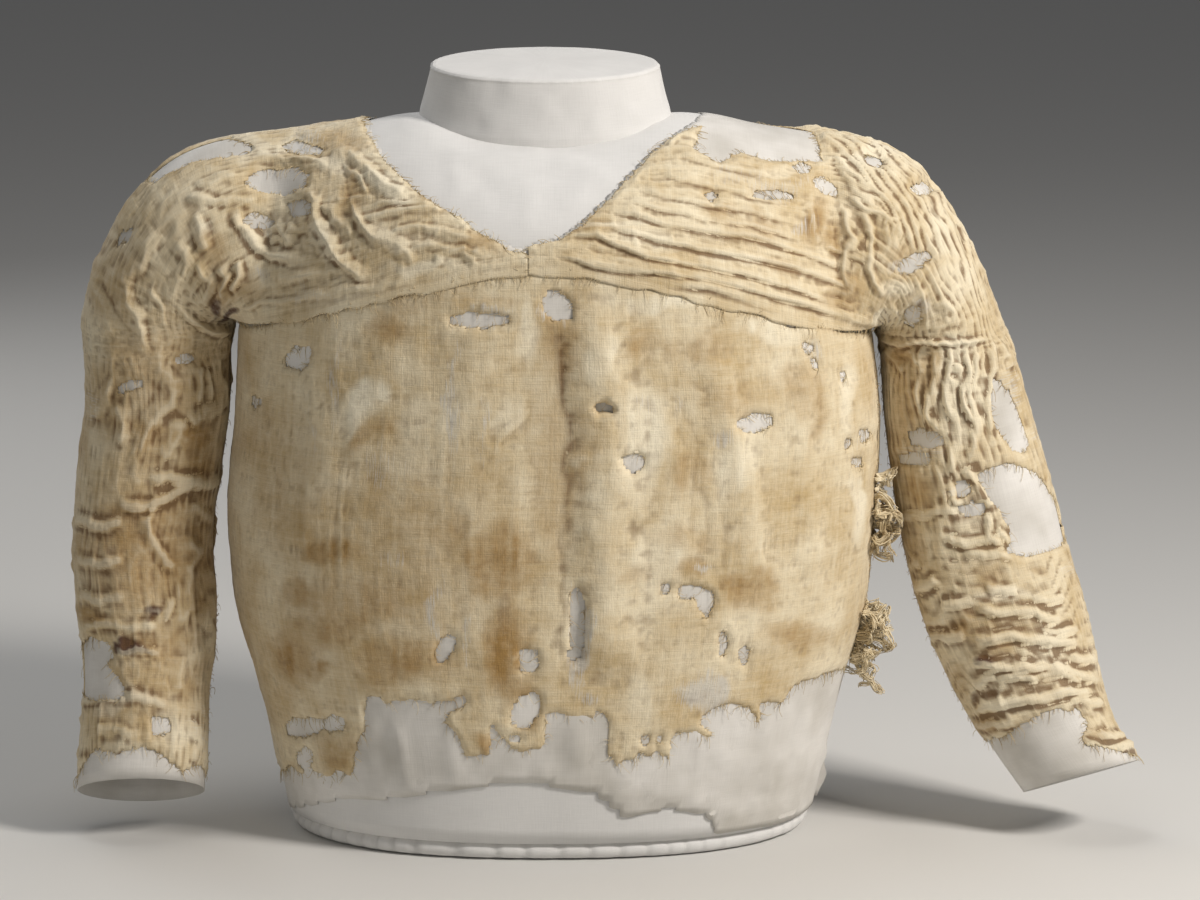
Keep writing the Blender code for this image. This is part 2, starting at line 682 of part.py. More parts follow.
def build_roll(material):
    """The gathered roll of the form's cover round its lower edge."""
    turns = skirt_turns()
    count = len(turns)
    wall = torso_point(turns, np.zeros(count))[:, None, :]
    outward = wall[..., :2] / np.linalg.norm(wall[..., :2], axis=2)[..., None]
    angle = 2 * np.pi * (np.arange(ROLL_SIDES) + 0.5) / ROLL_SIDES
    flat = wall[..., :2] + outward * (ROLL_RADIUS * np.cos(angle) - ROLL_INSET)[None, :, None]
    height = np.broadcast_to(ROLL_INSET - UNDERSIDE + ROLL_RADIUS * np.sin(angle), (count, ROLL_SIDES))
    points = np.concatenate([flat, height[..., None]], axis=2).reshape(-1, 3)
    faces = grid_faces(count, ROLL_SIDES)
    last = (count - 1) * ROLL_SIDES
    faces += [(last + k, last + (k + 1) % ROLL_SIDES, (k + 1) % ROLL_SIDES, k) for k in range(ROLL_SIDES)]
    mesh = bpy.data.meshes.new("form_base_roll")
    mesh.from_pydata(points.tolist(), [], faces)
    return finished("form_base_roll", mesh, material)


# Skirt panels: coarse rows and columns shared by lining and linen, so that one lies evenly on the other
SIDE_SEAM_EASE = 0.0011
SKIRT_EDGE = 0.070
SIDE_SKIP = 2

# Turns left free between a skirt panel's two ends, and between an end and the nearest column
SKIRT_GAP = 0.0015
END_CLEAR = 0.02

# Turns, from the middle of the back, where the height of the lining's hem is given there
HEM_BACK_TURNS = (0.35, 1.0, 1.6, 2.2)


def skirt_turns():
    """Turns of the skirt's columns, once round from the wearer's left front corner."""
    shares = torso_columns()[::-1]
    sides = side_turns()[SIDE_SKIP - 1::SIDE_SKIP]
    return np.concatenate([
        turn_of(shares), np.pi - sides, turn_of(shares[::-1], front=False), 2 * np.pi + sides[::-1],
    ])


def skirt_points(turns, shares):
    """Pattern points of the skirt in rows at shares of the way from the roll up to the yoke seam."""
    points = []
    for turn in turns:
        heights = ROLL_STEP + (seam_at_turn(turn) - ROLL_STEP) * np.array(shares)
        points += [(turn * TORSO_PITCH, height) for height in heights]
    return np.array(points)


def skirt_grid(turns):
    """Coarse pattern points of the skirt, a line of points up each column to its upper edge."""
    grid = skirt_points(turns, FORM_LEVELS).reshape(len(turns), len(FORM_LEVELS), 2)
    grid[:, -1] = top_edge(turns)
    return grid


def front_turn(x, height):
    """Turn round the torso of a place on its front."""
    half_width, half_depth, x_mid = torso_size(height)
    return float(turn_of(np.clip((x - x_mid) / half_width, -0.999, 0.999)))


def top_edge(turns):
    """Upper edge of a skirt panel, just under the yoke seam."""
    drop = SEAM_GAP / 2 + SIDE_SEAM_EASE * np.abs(np.cos(turns)) ** 4
    return list(zip(turns * TORSO_PITCH, seam_at_turn(turns) - drop))


def panel_turns(start, end):
    """Turns of a skirt panel's columns: its two ends, and the body's columns between them."""
    base = skirt_turns()
    turns = np.sort(np.concatenate([base - 2 * np.pi, base]))
    turns = turns[(turns > start + END_CLEAR) & (turns < end - END_CLEAR)]
    return np.concatenate([[start], turns, [end]])


def build_lining_skirt(material):
    """The support cloth under the skirt, a tube that is closed at the centre back."""
    start = float(turn_of(YOKE_CENTRE, front=False)) - 2 * np.pi
    turns = panel_turns(start, start + 2 * np.pi - SKIRT_GAP)
    front = sorted((front_turn(p.x, p.height), p.height) for p in LINING_HEM_FRONT)
    before = [-turn for turn in reversed(HEM_BACK_TURNS)]
    after = [np.pi + turn for turn in HEM_BACK_TURNS]
    knots = before + [turn for turn, height in front] + after
    back = [LINING_HEM_BACK + LINING_HEM_WAVE * math.sin(3 * turn) for turn in before + after]
    values = back[:len(before)] + [height for turn, height in front] + back[len(before):]
    lower = [(turn * TORSO_PITCH, float(smooth(knots, values, turn))) for turn in turns]
    outline = dense(np.array(top_edge(turns) + lower[::-1]), SKIRT_EDGE)
    return cloth_panel("lining_skirt", skirt_surface, -1, [outline], skirt_grid(turns[1:-1]),
                       LINING_INSIDE, LINING_OUTSIDE, material)


# Linen skirt: the join with its fringe, the torn hem of the front from the join on, and the back's tear
JOIN_TURN = 0.17
JOIN_LOW = 0.150
FRINGE_LOW = 0.165
FRINGE_HIGH = 0.290
FRINGE_STRIP = 0.0050
TORN_HEM = (
    HemPoint(0.2689, 0.152), HemPoint(0.2498, 0.155), HemPoint(0.2202, 0.151), HemPoint(0.2082, 0.135),
    HemPoint(0.1941, 0.138), HemPoint(0.1906, 0.123), HemPoint(0.1803, 0.136), HemPoint(0.1646, 0.139),
    HemPoint(0.1360, 0.166), HemPoint(0.1270, 0.147), HemPoint(0.1363, 0.130), HemPoint(0.1464, 0.114),
    HemPoint(0.1272, 0.118), HemPoint(0.1127, 0.115), HemPoint(0.1073, 0.094), HemPoint(0.0800, 0.095),
    HemPoint(0.0601, 0.088), HemPoint(0.0519, 0.101), HemPoint(0.0537, 0.121), HemPoint(0.0456, 0.136),
    HemPoint(0.0384, 0.153), HemPoint(0.0370, 0.132), HemPoint(0.0149, 0.132), HemPoint(0.0113, 0.151),
    HemPoint(-0.0040, 0.139), HemPoint(-0.0078, 0.103), HemPoint(-0.0241, 0.103), HemPoint(-0.0394, 0.111),
    HemPoint(-0.0511, 0.126), HemPoint(-0.0549, 0.101), HemPoint(-0.0767, 0.097), HemPoint(-0.0829, 0.116),
    HemPoint(-0.0946, 0.130), HemPoint(-0.0763, 0.143), HemPoint(-0.0780, 0.155), HemPoint(-0.0980, 0.148),
    HemPoint(-0.1217, 0.150), HemPoint(-0.1474, 0.145), HemPoint(-0.1631, 0.148), HemPoint(-0.1664, 0.114),
    HemPoint(-0.1741, 0.102), HemPoint(-0.1814, 0.068), HemPoint(-0.2169, 0.066), HemPoint(-0.2457, 0.056),
)
BACK_HEM = 0.098
BACK_HEM_SWELL = 0.026
BACK_HEM_CLIMB = 0.035
BACK_HEM_TEETH = 26
BACK_HEM_TOOTH = 0.009

# Holes torn through the skirt: place across, height and half sizes, on the front or the back
SkirtHole = namedtuple("SkirtHole", "x height half_across half_up front")
SKIRT_HOLES = (
    SkirtHole(-0.2234, 0.455, 0.011, 0.010, True), SkirtHole(-0.2080, 0.113, 0.022, 0.008, True),
    SkirtHole(-0.0930, 0.199, 0.010, 0.013, True), SkirtHole(-0.0183, 0.190, 0.009, 0.010, True),
    SkirtHole(-0.0250, 0.139, 0.010, 0.014, True), SkirtHole(0.1817, 0.403, 0.017, 0.007, True),
    SkirtHole(0.0741, 0.371, 0.011, 0.007, True), SkirtHole(0.1292, 0.242, 0.018, 0.014, True),
    SkirtHole(0.1558, 0.200, 0.004, 0.011, True), SkirtHole(0.1742, 0.186, 0.006, 0.009, True),
    SkirtHole(0.0872, 0.112, 0.005, 0.005, True), SkirtHole(-0.0323, 0.510, 0.013, 0.006, True),
    SkirtHole(-0.0785, 0.500, 0.011, 0.005, True), SkirtHole(0.0100, 0.513, 0.010, 0.005, True),
    SkirtHole(0.2620, 0.350, 0.005, 0.006, True), SkirtHole(-0.1400, 0.420, 0.012, 0.009, False),
    SkirtHole(0.1100, 0.330, 0.016, 0.010, False), SkirtHole(-0.0400, 0.230, 0.010, 0.015, False),
    SkirtHole(0.0500, 0.180, 0.008, 0.010, False), SkirtHole(-0.1700, 0.190, 0.014, 0.008, False),
    SkirtHole(0.1900, 0.170, 0.007, 0.010, False), SkirtHole(0.0100, 0.500, 0.012, 0.006, False),
)
HOLE_CORNERS = 7

# Soft folds down the skirt's front and back: turn, height range, half width round the body, and stand
SkirtFold = namedtuple("SkirtFold", "turn_deg low high half_deg stand")
SKIRT_FOLDS = (
    SkirtFold(80, 0.16, 0.48, 9, 0.0035), SkirtFold(104, 0.14, 0.44, 8, 0.0040),
    SkirtFold(128, 0.12, 0.40, 8, 0.0022), SkirtFold(52, 0.20, 0.42, 7, 0.0025),
    SkirtFold(30, 0.22, 0.44, 6, 0.0020), SkirtFold(152, 0.10, 0.38, 6, 0.0025),
    SkirtFold(215, 0.14, 0.44, 8, 0.0025), SkirtFold(250, 0.12, 0.42, 9, 0.0035),
    SkirtFold(282, 0.14, 0.46, 8, 0.0030), SkirtFold(318, 0.16, 0.42, 8, 0.0022),
)
LINEN_COLUMNS = 54
LINEN_ROWS = 11


def hole_loop(centre, half_along, half_around, phase):
    """Outline of a ragged hole: an oval whose radius swells and shrinks three times round."""
    angle = 2 * np.pi * np.arange(HOLE_CORNERS) / HOLE_CORNERS
    ragged = 1 + 0.18 * np.sin(3 * angle + phase) + 0.08 * np.cos(2 * angle + 2 * phase)
    return np.stack([
        centre[0] + half_along * ragged * np.cos(angle), centre[1] + half_around * ragged * np.sin(angle),
    ], axis=1)


def skirt_holes():
    """Outlines of the skirt's holes in its pattern."""
    loops = []
    for number, hole in enumerate(SKIRT_HOLES):
        turn = front_turn(hole.x, hole.height)
        if not hole.front:
            turn = 2 * np.pi - turn
        loops.append(hole_loop((turn * TORSO_PITCH, hole.height), hole.half_across, hole.half_up, number))
    return loops


def skirt_relief(pattern):
    """How far the skirt's outside stands out in its soft folds."""
    turn = np.degrees(pattern[:, 0] / TORSO_PITCH)
    height = pattern[:, 1]
    stand = np.zeros(len(pattern))
    for fold in SKIRT_FOLDS:
        middle = (fold.low + fold.high) / 2
        reach = (fold.high - fold.low) / 2
        run = np.clip(1 - ((height - middle) / reach) ** 2, 0, 1)
        stand += fold.stand * np.exp(-((turn - fold.turn_deg) / fold.half_deg) ** 2) * run
    return stand


def build_linen_skirt(material):
    """The linen skirt: once round the body from its join, torn along the hem and holed."""
    start = JOIN_TURN
    end = JOIN_TURN + 2 * np.pi - SKIRT_GAP
    turns = panel_turns(start, end)
    hem = [(front_turn(p.x, p.height) * TORSO_PITCH, p.height) for p in TORN_HEM]
    hem = [point for point in hem if point[0] > start * TORSO_PITCH + 0.004]
    last = hem[-1][0] / TORSO_PITCH
    for tooth in range(1, BACK_HEM_TEETH):
        turn = last + (end - last) * tooth / BACK_HEM_TEETH
        ragged = BACK_HEM_TOOTH * (1 if tooth % 2 else -1) * (0.6 + 0.4 * math.sin(5 * turn))
        swell = BACK_HEM_SWELL * math.sin(1.7 * turn + 0.4)
        climb = BACK_HEM_CLIMB * tooth / BACK_HEM_TEETH
        hem.append((turn * TORSO_PITCH, BACK_HEM + swell + ragged + climb))
    notch = start * TORSO_PITCH + FRINGE_STRIP + 2 * SEAM_GAP
    here = start * TORSO_PITCH
    join = [(here, JOIN_LOW), (here, FRINGE_LOW - SEAM_GAP), (notch, FRINGE_LOW - SEAM_GAP),
            (notch, FRINGE_HIGH + SEAM_GAP), (here, FRINGE_HIGH + SEAM_GAP)]
    edge = top_edge(turns) + [(end * TORSO_PITCH, JOIN_LOW)] + hem[::-1] + join
    outline = dense(np.array(edge), SKIRT_EDGE)
    rows = skirt_points(np.linspace(start, end, LINEN_COLUMNS), np.linspace(0.05, 1, LINEN_ROWS))
    return cloth_panel("linen_skirt", skirt_surface, -1, [outline] + skirt_holes(), skirt_grid(turns[1:-1]),
                       LINEN_INSIDE, LINEN_OUTSIDE, material, rows, skirt_relief)


# Linen yokes and sleeves: neck edges, then torn cuffs, as ribs short of the end and shares of the girth
LINEN_NECK = {
    "right": (
        NeckPoint(-0.0205, 5), NeckPoint(-0.036, 10), NeckPoint(-0.046, 15), NeckPoint(-0.066, 20),
        NeckPoint(-0.074, 25), NeckPoint(-0.100, 31), NeckPoint(-0.124, 40), NeckPoint(-0.146, 51),
        NeckPoint(-0.164, 69), NeckPoint(-0.173, 90), NeckPoint(-0.164, 108), NeckPoint(-0.144, 124),
        NeckPoint(-0.110, 138), NeckPoint(-0.064, 151), NeckPoint(-0.0205, 160),
    ),
    "left": (
        NeckPoint(-0.0205, 5), NeckPoint(-0.006, 13), NeckPoint(0.008, 14), NeckPoint(0.031, 22),
        NeckPoint(0.054, 34), NeckPoint(0.074, 45), NeckPoint(0.094, 56), NeckPoint(0.116, 66),
        NeckPoint(0.140, 74), NeckPoint(0.130, 58), NeckPoint(0.152, 52), NeckPoint(0.172, 60),
        NeckPoint(0.200, 58), NeckPoint(0.246, 62), NeckPoint(0.240, 90), NeckPoint(0.205, 104),
        NeckPoint(0.168, 112), NeckPoint(0.140, 124), NeckPoint(0.085, 140), NeckPoint(0.030, 153),
        NeckPoint(-0.0205, 161),
    ),
}
CuffPoint = namedtuple("CuffPoint", "short around")
LINEN_CUFF = {
    "right": (
        CuffPoint(0.65, 0.00), CuffPoint(0.85, 0.08), CuffPoint(0.55, 0.15), CuffPoint(0.75, 0.22),
        CuffPoint(0.40, 0.30), CuffPoint(0.60, 0.37), CuffPoint(0.35, 0.45), CuffPoint(0.50, 0.55),
        CuffPoint(0.70, 0.63), CuffPoint(0.50, 0.72), CuffPoint(0.80, 0.80), CuffPoint(0.60, 0.90),
        CuffPoint(0.70, 1.00),
    ),
    "left": (
        CuffPoint(1.50, 0.00), CuffPoint(1.45, 0.10), CuffPoint(1.65, 0.18), CuffPoint(1.40, 0.25),
        CuffPoint(0.70, 0.30), CuffPoint(0.45, 0.36), CuffPoint(0.12, 0.43), CuffPoint(0.08, 0.50),
        CuffPoint(0.20, 0.58), CuffPoint(0.50, 0.66), CuffPoint(0.60, 0.75), CuffPoint(0.90, 0.82),
        CuffPoint(1.30, 0.90), CuffPoint(1.50, 1.00),
    ),
}

# Holes torn through the yokes and sleeves: place in ribs, share of the girth, and half sizes
SleeveHole = namedtuple("SleeveHole", "rib around half_along half_around")
SLEEVE_HOLES = {
    "right": (
        SleeveHole(6.6, 0.330, 0.026, 0.012), SleeveHole(8.2, 0.440, 0.020, 0.009),
        SleeveHole(6.8, 0.215, 0.014, 0.008), SleeveHole(23.2, 0.390, 0.024, 0.018),
        SleeveHole(24.2, 0.230, 0.008, 0.008), SleeveHole(10.5, 0.640, 0.016, 0.010),
        SleeveHole(21.0, 0.700, 0.018, 0.010),
    ),
    "left": (
        SleeveHole(6.6, 0.290, 0.018, 0.006), SleeveHole(8.3, 0.315, 0.009, 0.008),
        SleeveHole(19.6, 0.420, 0.040, 0.026), SleeveHole(17.0, 0.480, 0.022, 0.010),
        SleeveHole(25.2, 0.400, 0.016, 0.020), SleeveHole(11.0, 0.660, 0.016, 0.010),
        SleeveHole(22.5, 0.740, 0.014, 0.012),
    ),
}

# Pleats run along the yokes and upper sleeves, creases across the forearms; both fade out towards the
# underarm, over shares of the girth, and the linen is a little fuller there between two ribs
PLEATS = {"right": 18, "left": 22}
PLEAT_START = 0.05
PLEAT_FADE = 0.10
CREASE_FADE = 0.12
UNDERARM_REACH = 0.06
UNDERARM_RIBS = (7.3, 15.5)
UNDERARM_FULLNESS = 0.0010
UNDERARM_THINNING = 0.0006
PLEAT_LEAN = 0.75
PLEAT_HEIGHT = 0.0042
PLEAT_WAVE = {"right": 0.020, "left": 0.010}
PLEATS_END = 20
CREASE_PITCH = 0.75
CREASE_HEIGHT = 0.0035
SLEEVE_EDGE = 0.0305


def neck_pattern(points, side):
    """Pattern points of a neck edge, from the front over the shoulder to the back."""
    sign = SIDES[side]
    shares = np.array([across_of(point.x) for point in points])
    ribs = YOKE_RIBS * (shares - YOKE_CENTRE) / (sign * ARMHOLE - YOKE_CENTRE)
    return [(max(rib, 0) * RIB_PITCH, point.over_deg / 180 * GIRTH) for rib, point in zip(ribs, points)]


def sleeve_outline(side, neck, cuff):
    """Outline of a yoke and sleeve in its pattern: front edge, cuff, back edge and neck."""
    last = len(rib_rows(side)) - 1
    end = [((last - short) * RIB_PITCH, around * GIRTH) for short, around in cuff]
    front = [(rib * RIB_PITCH, 0) for rib in range(last) if rib < last - cuff[0][0]]
    back = [(rib * RIB_PITCH, GIRTH) for rib in range(last) if rib < last - cuff[-1][0]]
    edge = front + end + back[::-1] + neck_pattern(neck, side)[::-1]
    return dense(np.array(edge), SLEEVE_EDGE)


def sleeve_grid(ribs):
    """Coarse pattern points of a yoke or sleeve, a line of points round each rib."""
    steps = np.arange(ARCH_STEPS + 1) / ARCH_STEPS * GIRTH
    return np.stack(np.meshgrid(np.asarray(ribs) * RIB_PITCH, steps, indexing="ij"), axis=-1)


def pleat_wave(side, rib):
    """How far the pleats swing round the sleeve along its length, as a share of the girth."""
    return PLEAT_WAVE[side] * np.sin(2 * np.pi * rib / 6.5 + (1 if side == "right" else 2))


def pleat_points(side):
    """Pattern points along the valleys and crests of the pleats, then of the forearm's creases."""
    count = PLEATS[side]
    points = []
    for rib in range(1, PLEATS_END + 1):
        for number in range(count):
            for share in (0, PLEAT_LEAN):
                around = (number + share) / count + pleat_wave(side, rib)
                points.append((rib * RIB_PITCH, around * GIRTH))
    last = len(rib_rows(side)) - 1
    place = PLEATS_END + CREASE_PITCH
    while place < last:
        for step in range(1, ARCH_STEPS):
            around = step / ARCH_STEPS
            points.append(((place + crease_wave(around)) * RIB_PITCH, around * GIRTH))
        place += CREASE_PITCH / 2
    return np.array(points)


def crease_wave(around):
    """How far the forearm's creases swing along the sleeve on their way round."""
    return 0.25 * np.sin(4 * np.pi * around)


def sleeve_relief(side):
    """How far the outside of a yoke and sleeve stands out in its pleats and creases."""
    count = PLEATS[side]

    def relief(pattern):
        rib = pattern[:, 0] / RIB_PITCH
        around = pattern[:, 1] / GIRTH
        phase = (around - pleat_wave(side, rib)) * count
        share = phase - np.floor(phase)
        pleat = np.where(share < PLEAT_LEAN, share / PLEAT_LEAN, (1 - share) / (1 - PLEAT_LEAN))
        edge = np.minimum(around, 1 - around)
        start = np.where(rib > YOKE_RIBS, PLEAT_START, 0.0)
        clear = np.clip((edge - start) / PLEAT_FADE, 0, 1)
        pleat *= PLEAT_HEIGHT * clear * np.clip(PLEATS_END + 0.5 - rib, 0, 1)
        phase = (rib - PLEATS_END - crease_wave(around)) / CREASE_PITCH
        crease = 1 - np.abs(2 * (phase - np.floor(phase)) - 1)
        away = np.clip(edge / CREASE_FADE, 0, 1)
        crease *= CREASE_HEIGHT * away * np.clip(rib - PLEATS_END, 0, 1)
        first, last = UNDERARM_RIBS
        underarm = np.clip(np.minimum(rib - first, last - rib), 0, 1)
        near = np.clip(1 - edge / UNDERARM_REACH, 0, 1)
        underarm *= UNDERARM_FULLNESS * away - UNDERARM_THINNING * near
        return pleat + crease + underarm

    return relief


def sleeve_holes(side):
    """Outlines of the holes of one yoke and sleeve in its pattern."""
    return [
        hole_loop((hole.rib * RIB_PITCH, hole.around * GIRTH), hole.half_along, hole.half_around, number)
        for number, hole in enumerate(SLEEVE_HOLES[side])
    ]


def lining_panel(name, side, ribs, upper, material):
    """A panel of support cloth between its upper edge and the ring of its last rib, closed under the arm."""
    ring = [(ribs[-1] * RIB_PITCH, step / ARCH_STEPS * GIRTH) for step in range(ARCH_STEPS + 1)]
    front = [(rib * RIB_PITCH, 0) for rib in ribs[:-1]]
    back = [(rib * RIB_PITCH, GIRTH) for rib in ribs[:-1]]
    outline = dense(np.array(front + ring + back[::-1] + upper[::-1]), SLEEVE_EDGE)
    return cloth_panel(name, sleeve_surface(side), SIDES[side], [outline], sleeve_grid(ribs),
                       LINING_INSIDE, LINING_OUTSIDE, material)


def build_lining_sleeve(side, material):
    """The support cloth of one side, in panels from the neck edge to the cuff, half a seam gap short of each seam."""
    cuff = len(rib_rows(side)) - 1
    seams = LINING_SEAMS[side]
    for name, start, end in zip(LINING_PANELS[side], (0, *seams), (*seams, cuff)):
        ribs = np.arange(start, end + 1, dtype=float)
        upper = neck_pattern(LINING_NECK[side], side)
        if start:
            ribs[0] += SEAM_GAP / 2 / RIB_PITCH
            upper = [(ribs[0] * RIB_PITCH, step / ARCH_STEPS * GIRTH) for step in range(1, ARCH_STEPS)]
        if end < cuff:
            ribs[-1] -= SEAM_GAP / 2 / RIB_PITCH
        lining_panel(f"{name}_{side}", side, ribs, upper, material)


def build_linen_sleeve(side, material):
    """One pleated linen yoke and sleeve, torn at the neck and cuff and holed."""
    outline = sleeve_outline(side, LINEN_NECK[side], LINEN_CUFF[side])
    return cloth_panel(f"linen_yoke_sleeve_{side}", sleeve_surface(side), SIDES[side],
                       [outline] + sleeve_holes(side), sleeve_grid(np.arange(len(rib_rows(side)))),
                       LINEN_INSIDE, LINEN_OUTSIDE, material, pleat_points(side), sleeve_relief(side))


# Fringe: strands along a strip that lies in the skirt's join
FRINGE_STRANDS = 16
STRAND_SEGMENTS = 3
STRAND_ROOT = 0.0026
STRAND_TIP = 0.0009
STRAND_LONG = 0.040
STRAND_SHORT = 0.016


def build_fringe(material):
    """The weft fringe: a narrow strip along the join, with a strand drawn out of every other face."""
    strip_start = JOIN_TURN * TORSO_PITCH + SEAM_GAP
    levels = 2 * FRINGE_STRANDS + 1
    heights = np.linspace(FRINGE_LOW, FRINGE_HIGH, levels + 1)
    near = np.stack([np.full(levels + 1, strip_start), heights], axis=1)
    far = near + [FRINGE_STRIP - SEAM_GAP, 0]
    rings = []
    corners = ((near, LINEN_INSIDE), (far, LINEN_INSIDE), (far, LINEN_OUTSIDE), (near, LINEN_OUTSIDE))
    for pattern, lift in corners:
        rings.append(raised(skirt_surface, -1, pattern, np.full(levels + 1, lift)))
    rings = np.stack(rings, axis=1)
    bm = bmesh.new()
    rows = [[bm.verts.new(corner) for corner in ring] for ring in rings]
    outer_faces = []
    for low, high in zip(rows, rows[1:]):
        for k in range(4):
            face = bm.faces.new((low[k], low[(k + 1) % 4], high[(k + 1) % 4], high[k]))
            if k == 2:
                outer_faces.append(face)
    bm.faces.new(rows[0])
    bm.faces.new(rows[-1][::-1])
    bmesh.ops.recalc_face_normals(bm, faces=bm.faces)
    for number in range(FRINGE_STRANDS):
        face = outer_faces[2 * number + 1]
        face.normal_update()
        out = face.normal.copy()
        share = number / (FRINGE_STRANDS - 1)
        length = STRAND_LONG - (STRAND_LONG - STRAND_SHORT) * share**1.5
        length *= 0.82 + 0.18 * math.sin(2.3 * number)
        side = 0.35 * math.sin(0.55 * number)
        bmesh.ops.inset_individual(bm, faces=[face], thickness=0.0006, use_even_offset=False)
        for segment in range(STRAND_SEGMENTS):
            grown = bmesh.ops.extrude_discrete_faces(bm, faces=[face])
            face = grown["faces"][0]
            drop = 0.20 + 0.50 * segment / (STRAND_SEGMENTS - 1)
            step = out * (1 - drop * 0.75)
            step.z -= drop
            step.y += side
            step *= length / STRAND_SEGMENTS
            middle = face.calc_center_median()
            shrink = (STRAND_TIP / STRAND_ROOT) ** (1 / STRAND_SEGMENTS)
            for vert in face.verts:
                vert.co = middle + (vert.co - middle) * shrink + step
    mesh = bpy.data.meshes.new("weft_fringe")
    bm.to_mesh(mesh)
    bm.free()
    return finished("weft_fringe", mesh, material)


def clear_scene():
    """Remove the objects and collections of the open file."""
    for thing in list(bpy.data.objects):
        bpy.data.objects.remove(thing, do_unlink=True)
    for group in list(bpy.data.collections):
        bpy.data.collections.remove(group)


def main():
    """Build the dress and its form."""
    clear_scene()
    parts = bpy.data.collections.new(NAME)
    guides = bpy.data.collections.new("guides")
    bpy.context.scene.collection.children.link(parts)
    bpy.context.scene.collection.children.link(guides)
    padding = plain_material("padded_cover", "E6E6E8", 0.85)
    support = plain_material("support_cloth", "CFCBC4", 0.80)
    linen = plain_material("aged_linen", "CDB384", 0.90)
    build_form(padding, guides)
    build_roll(padding)
    build_lining_skirt(support)
    build_linen_skirt(linen)
    for side in SIDES:
        build_lining_sleeve(side, support)
        build_linen_sleeve(side, linen)
    build_fringe(linen)


main()
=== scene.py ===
"""Looks of a worn linen dress with pleated yokes and sleeves, filled out on a white padded form.

The wearer faces -Y, +X is the wearer's left and +Z is up. Cloth is laid on the same surfaces as its solids: the
skirt on a boxy oval torso, each yoke and sleeve on ribs that arch over the shoulder and close round the arm. Folds,
losses and stains are listed one by one, mostly as places in the photograph's frame of 1200 x 900 pixels.
"""

import logging
import math
from collections.abc import Callable
from dataclasses import dataclass, field
from enum import Enum

import bpy
import numpy as np
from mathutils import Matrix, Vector

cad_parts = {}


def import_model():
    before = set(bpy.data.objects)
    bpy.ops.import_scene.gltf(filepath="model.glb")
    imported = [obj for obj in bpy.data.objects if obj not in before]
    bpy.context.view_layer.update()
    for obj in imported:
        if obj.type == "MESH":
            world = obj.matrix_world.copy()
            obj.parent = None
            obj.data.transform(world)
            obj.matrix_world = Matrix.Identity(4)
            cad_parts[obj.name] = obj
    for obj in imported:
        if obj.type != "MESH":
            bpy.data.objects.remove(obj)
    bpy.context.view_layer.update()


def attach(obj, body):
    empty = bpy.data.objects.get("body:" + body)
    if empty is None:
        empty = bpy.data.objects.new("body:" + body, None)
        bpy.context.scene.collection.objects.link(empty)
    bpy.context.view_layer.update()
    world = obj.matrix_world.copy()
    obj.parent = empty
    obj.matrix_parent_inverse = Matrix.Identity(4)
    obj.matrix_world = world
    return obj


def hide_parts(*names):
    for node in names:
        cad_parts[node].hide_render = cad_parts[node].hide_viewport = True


Array = np.ndarray
Surface = Callable[[Array, Array], Array]
Rows = tuple[tuple[float, ...], ...]
Piece, Material = bpy.types.Object, bpy.types.Material
Tree, Socket = bpy.types.NodeTree, bpy.types.NodeSocket
LOG = logging.getLogger("dress")

# The garment tables' heights start this far above the form's underside
UNDERSIDE = 0.006
# One pixel of the photograph's frame at the dress, in metres
PIXEL = 0.000933
# Metres of the skirt's pattern to one radian of turn round the torso
SKIRT_PITCH = 0.24
# Turn of the skirt's side join, from the wearer's left towards the front
JOIN_TURN = 0.17
# Widest narrow fold and least reach of a round one, in pixels, and how much a narrow one is widened for the mesh
NARROW_FOLD, ROUND_FOLD, WIDENING = 12, 18, 1.3
# Share of a fold's length over which it tapers at each end
FOLD_TAPER = 0.16
# Share of a knife pleat's width that is its face
PLEAT_FACE = 0.76


class Side(Enum):
    """The wearer's right and left, with the sign of X there."""

    RIGHT = -1
    LEFT = 1


# --- numbers and noise ---


def eased(share: Array) -> Array:
    """Smooth step: 3 s squared less 2 s cubed, with s held between 0 and 1."""
    share = np.clip(share, 0.0, 1.0)
    return share * share * (3.0 - 2.0 * share)


def joined(*columns: Array | float) -> Array:
    """Columns of numbers side by side on a new last axis, each first stretched to their common shape."""
    return np.stack(np.broadcast_arrays(*columns), axis=-1)


def smooth(knots: Array, values: Array, places: Array) -> Array:
    """Read a smooth curve through values at knots: a cubic between each two, with slopes kept from overshooting.

    Args:
        knots: increasing places of the values.
        values: one number a knot.
        places: where the curve is read.

    Returns:
        The curve's values at the places.
    """
    knots, values = np.asarray(knots, float), np.asarray(values, float)
    places = np.clip(places, knots[0], knots[-1])
    secants = np.diff(values) / np.diff(knots)
    slopes = np.gradient(values, knots)
    least = np.minimum(np.abs(secants[1:]), np.abs(secants[:-1])) * (secants[1:] * secants[:-1] > 0)
    slopes[1:-1] = np.clip(slopes[1:-1], -2 * least, 2 * least)
    low = np.clip(np.searchsorted(knots, places) - 1, 0, len(knots) - 2)
    span = knots[low + 1] - knots[low]
    t = (places - knots[low]) / span
    start = (2 * t**3 - 3 * t**2 + 1) * values[low] + (t**3 - 2 * t**2 + t) * span * slopes[low]
    end = (3 * t**2 - 2 * t**3) * values[low + 1] + (t**3 - t**2) * span * slopes[low + 1]
    return start + end


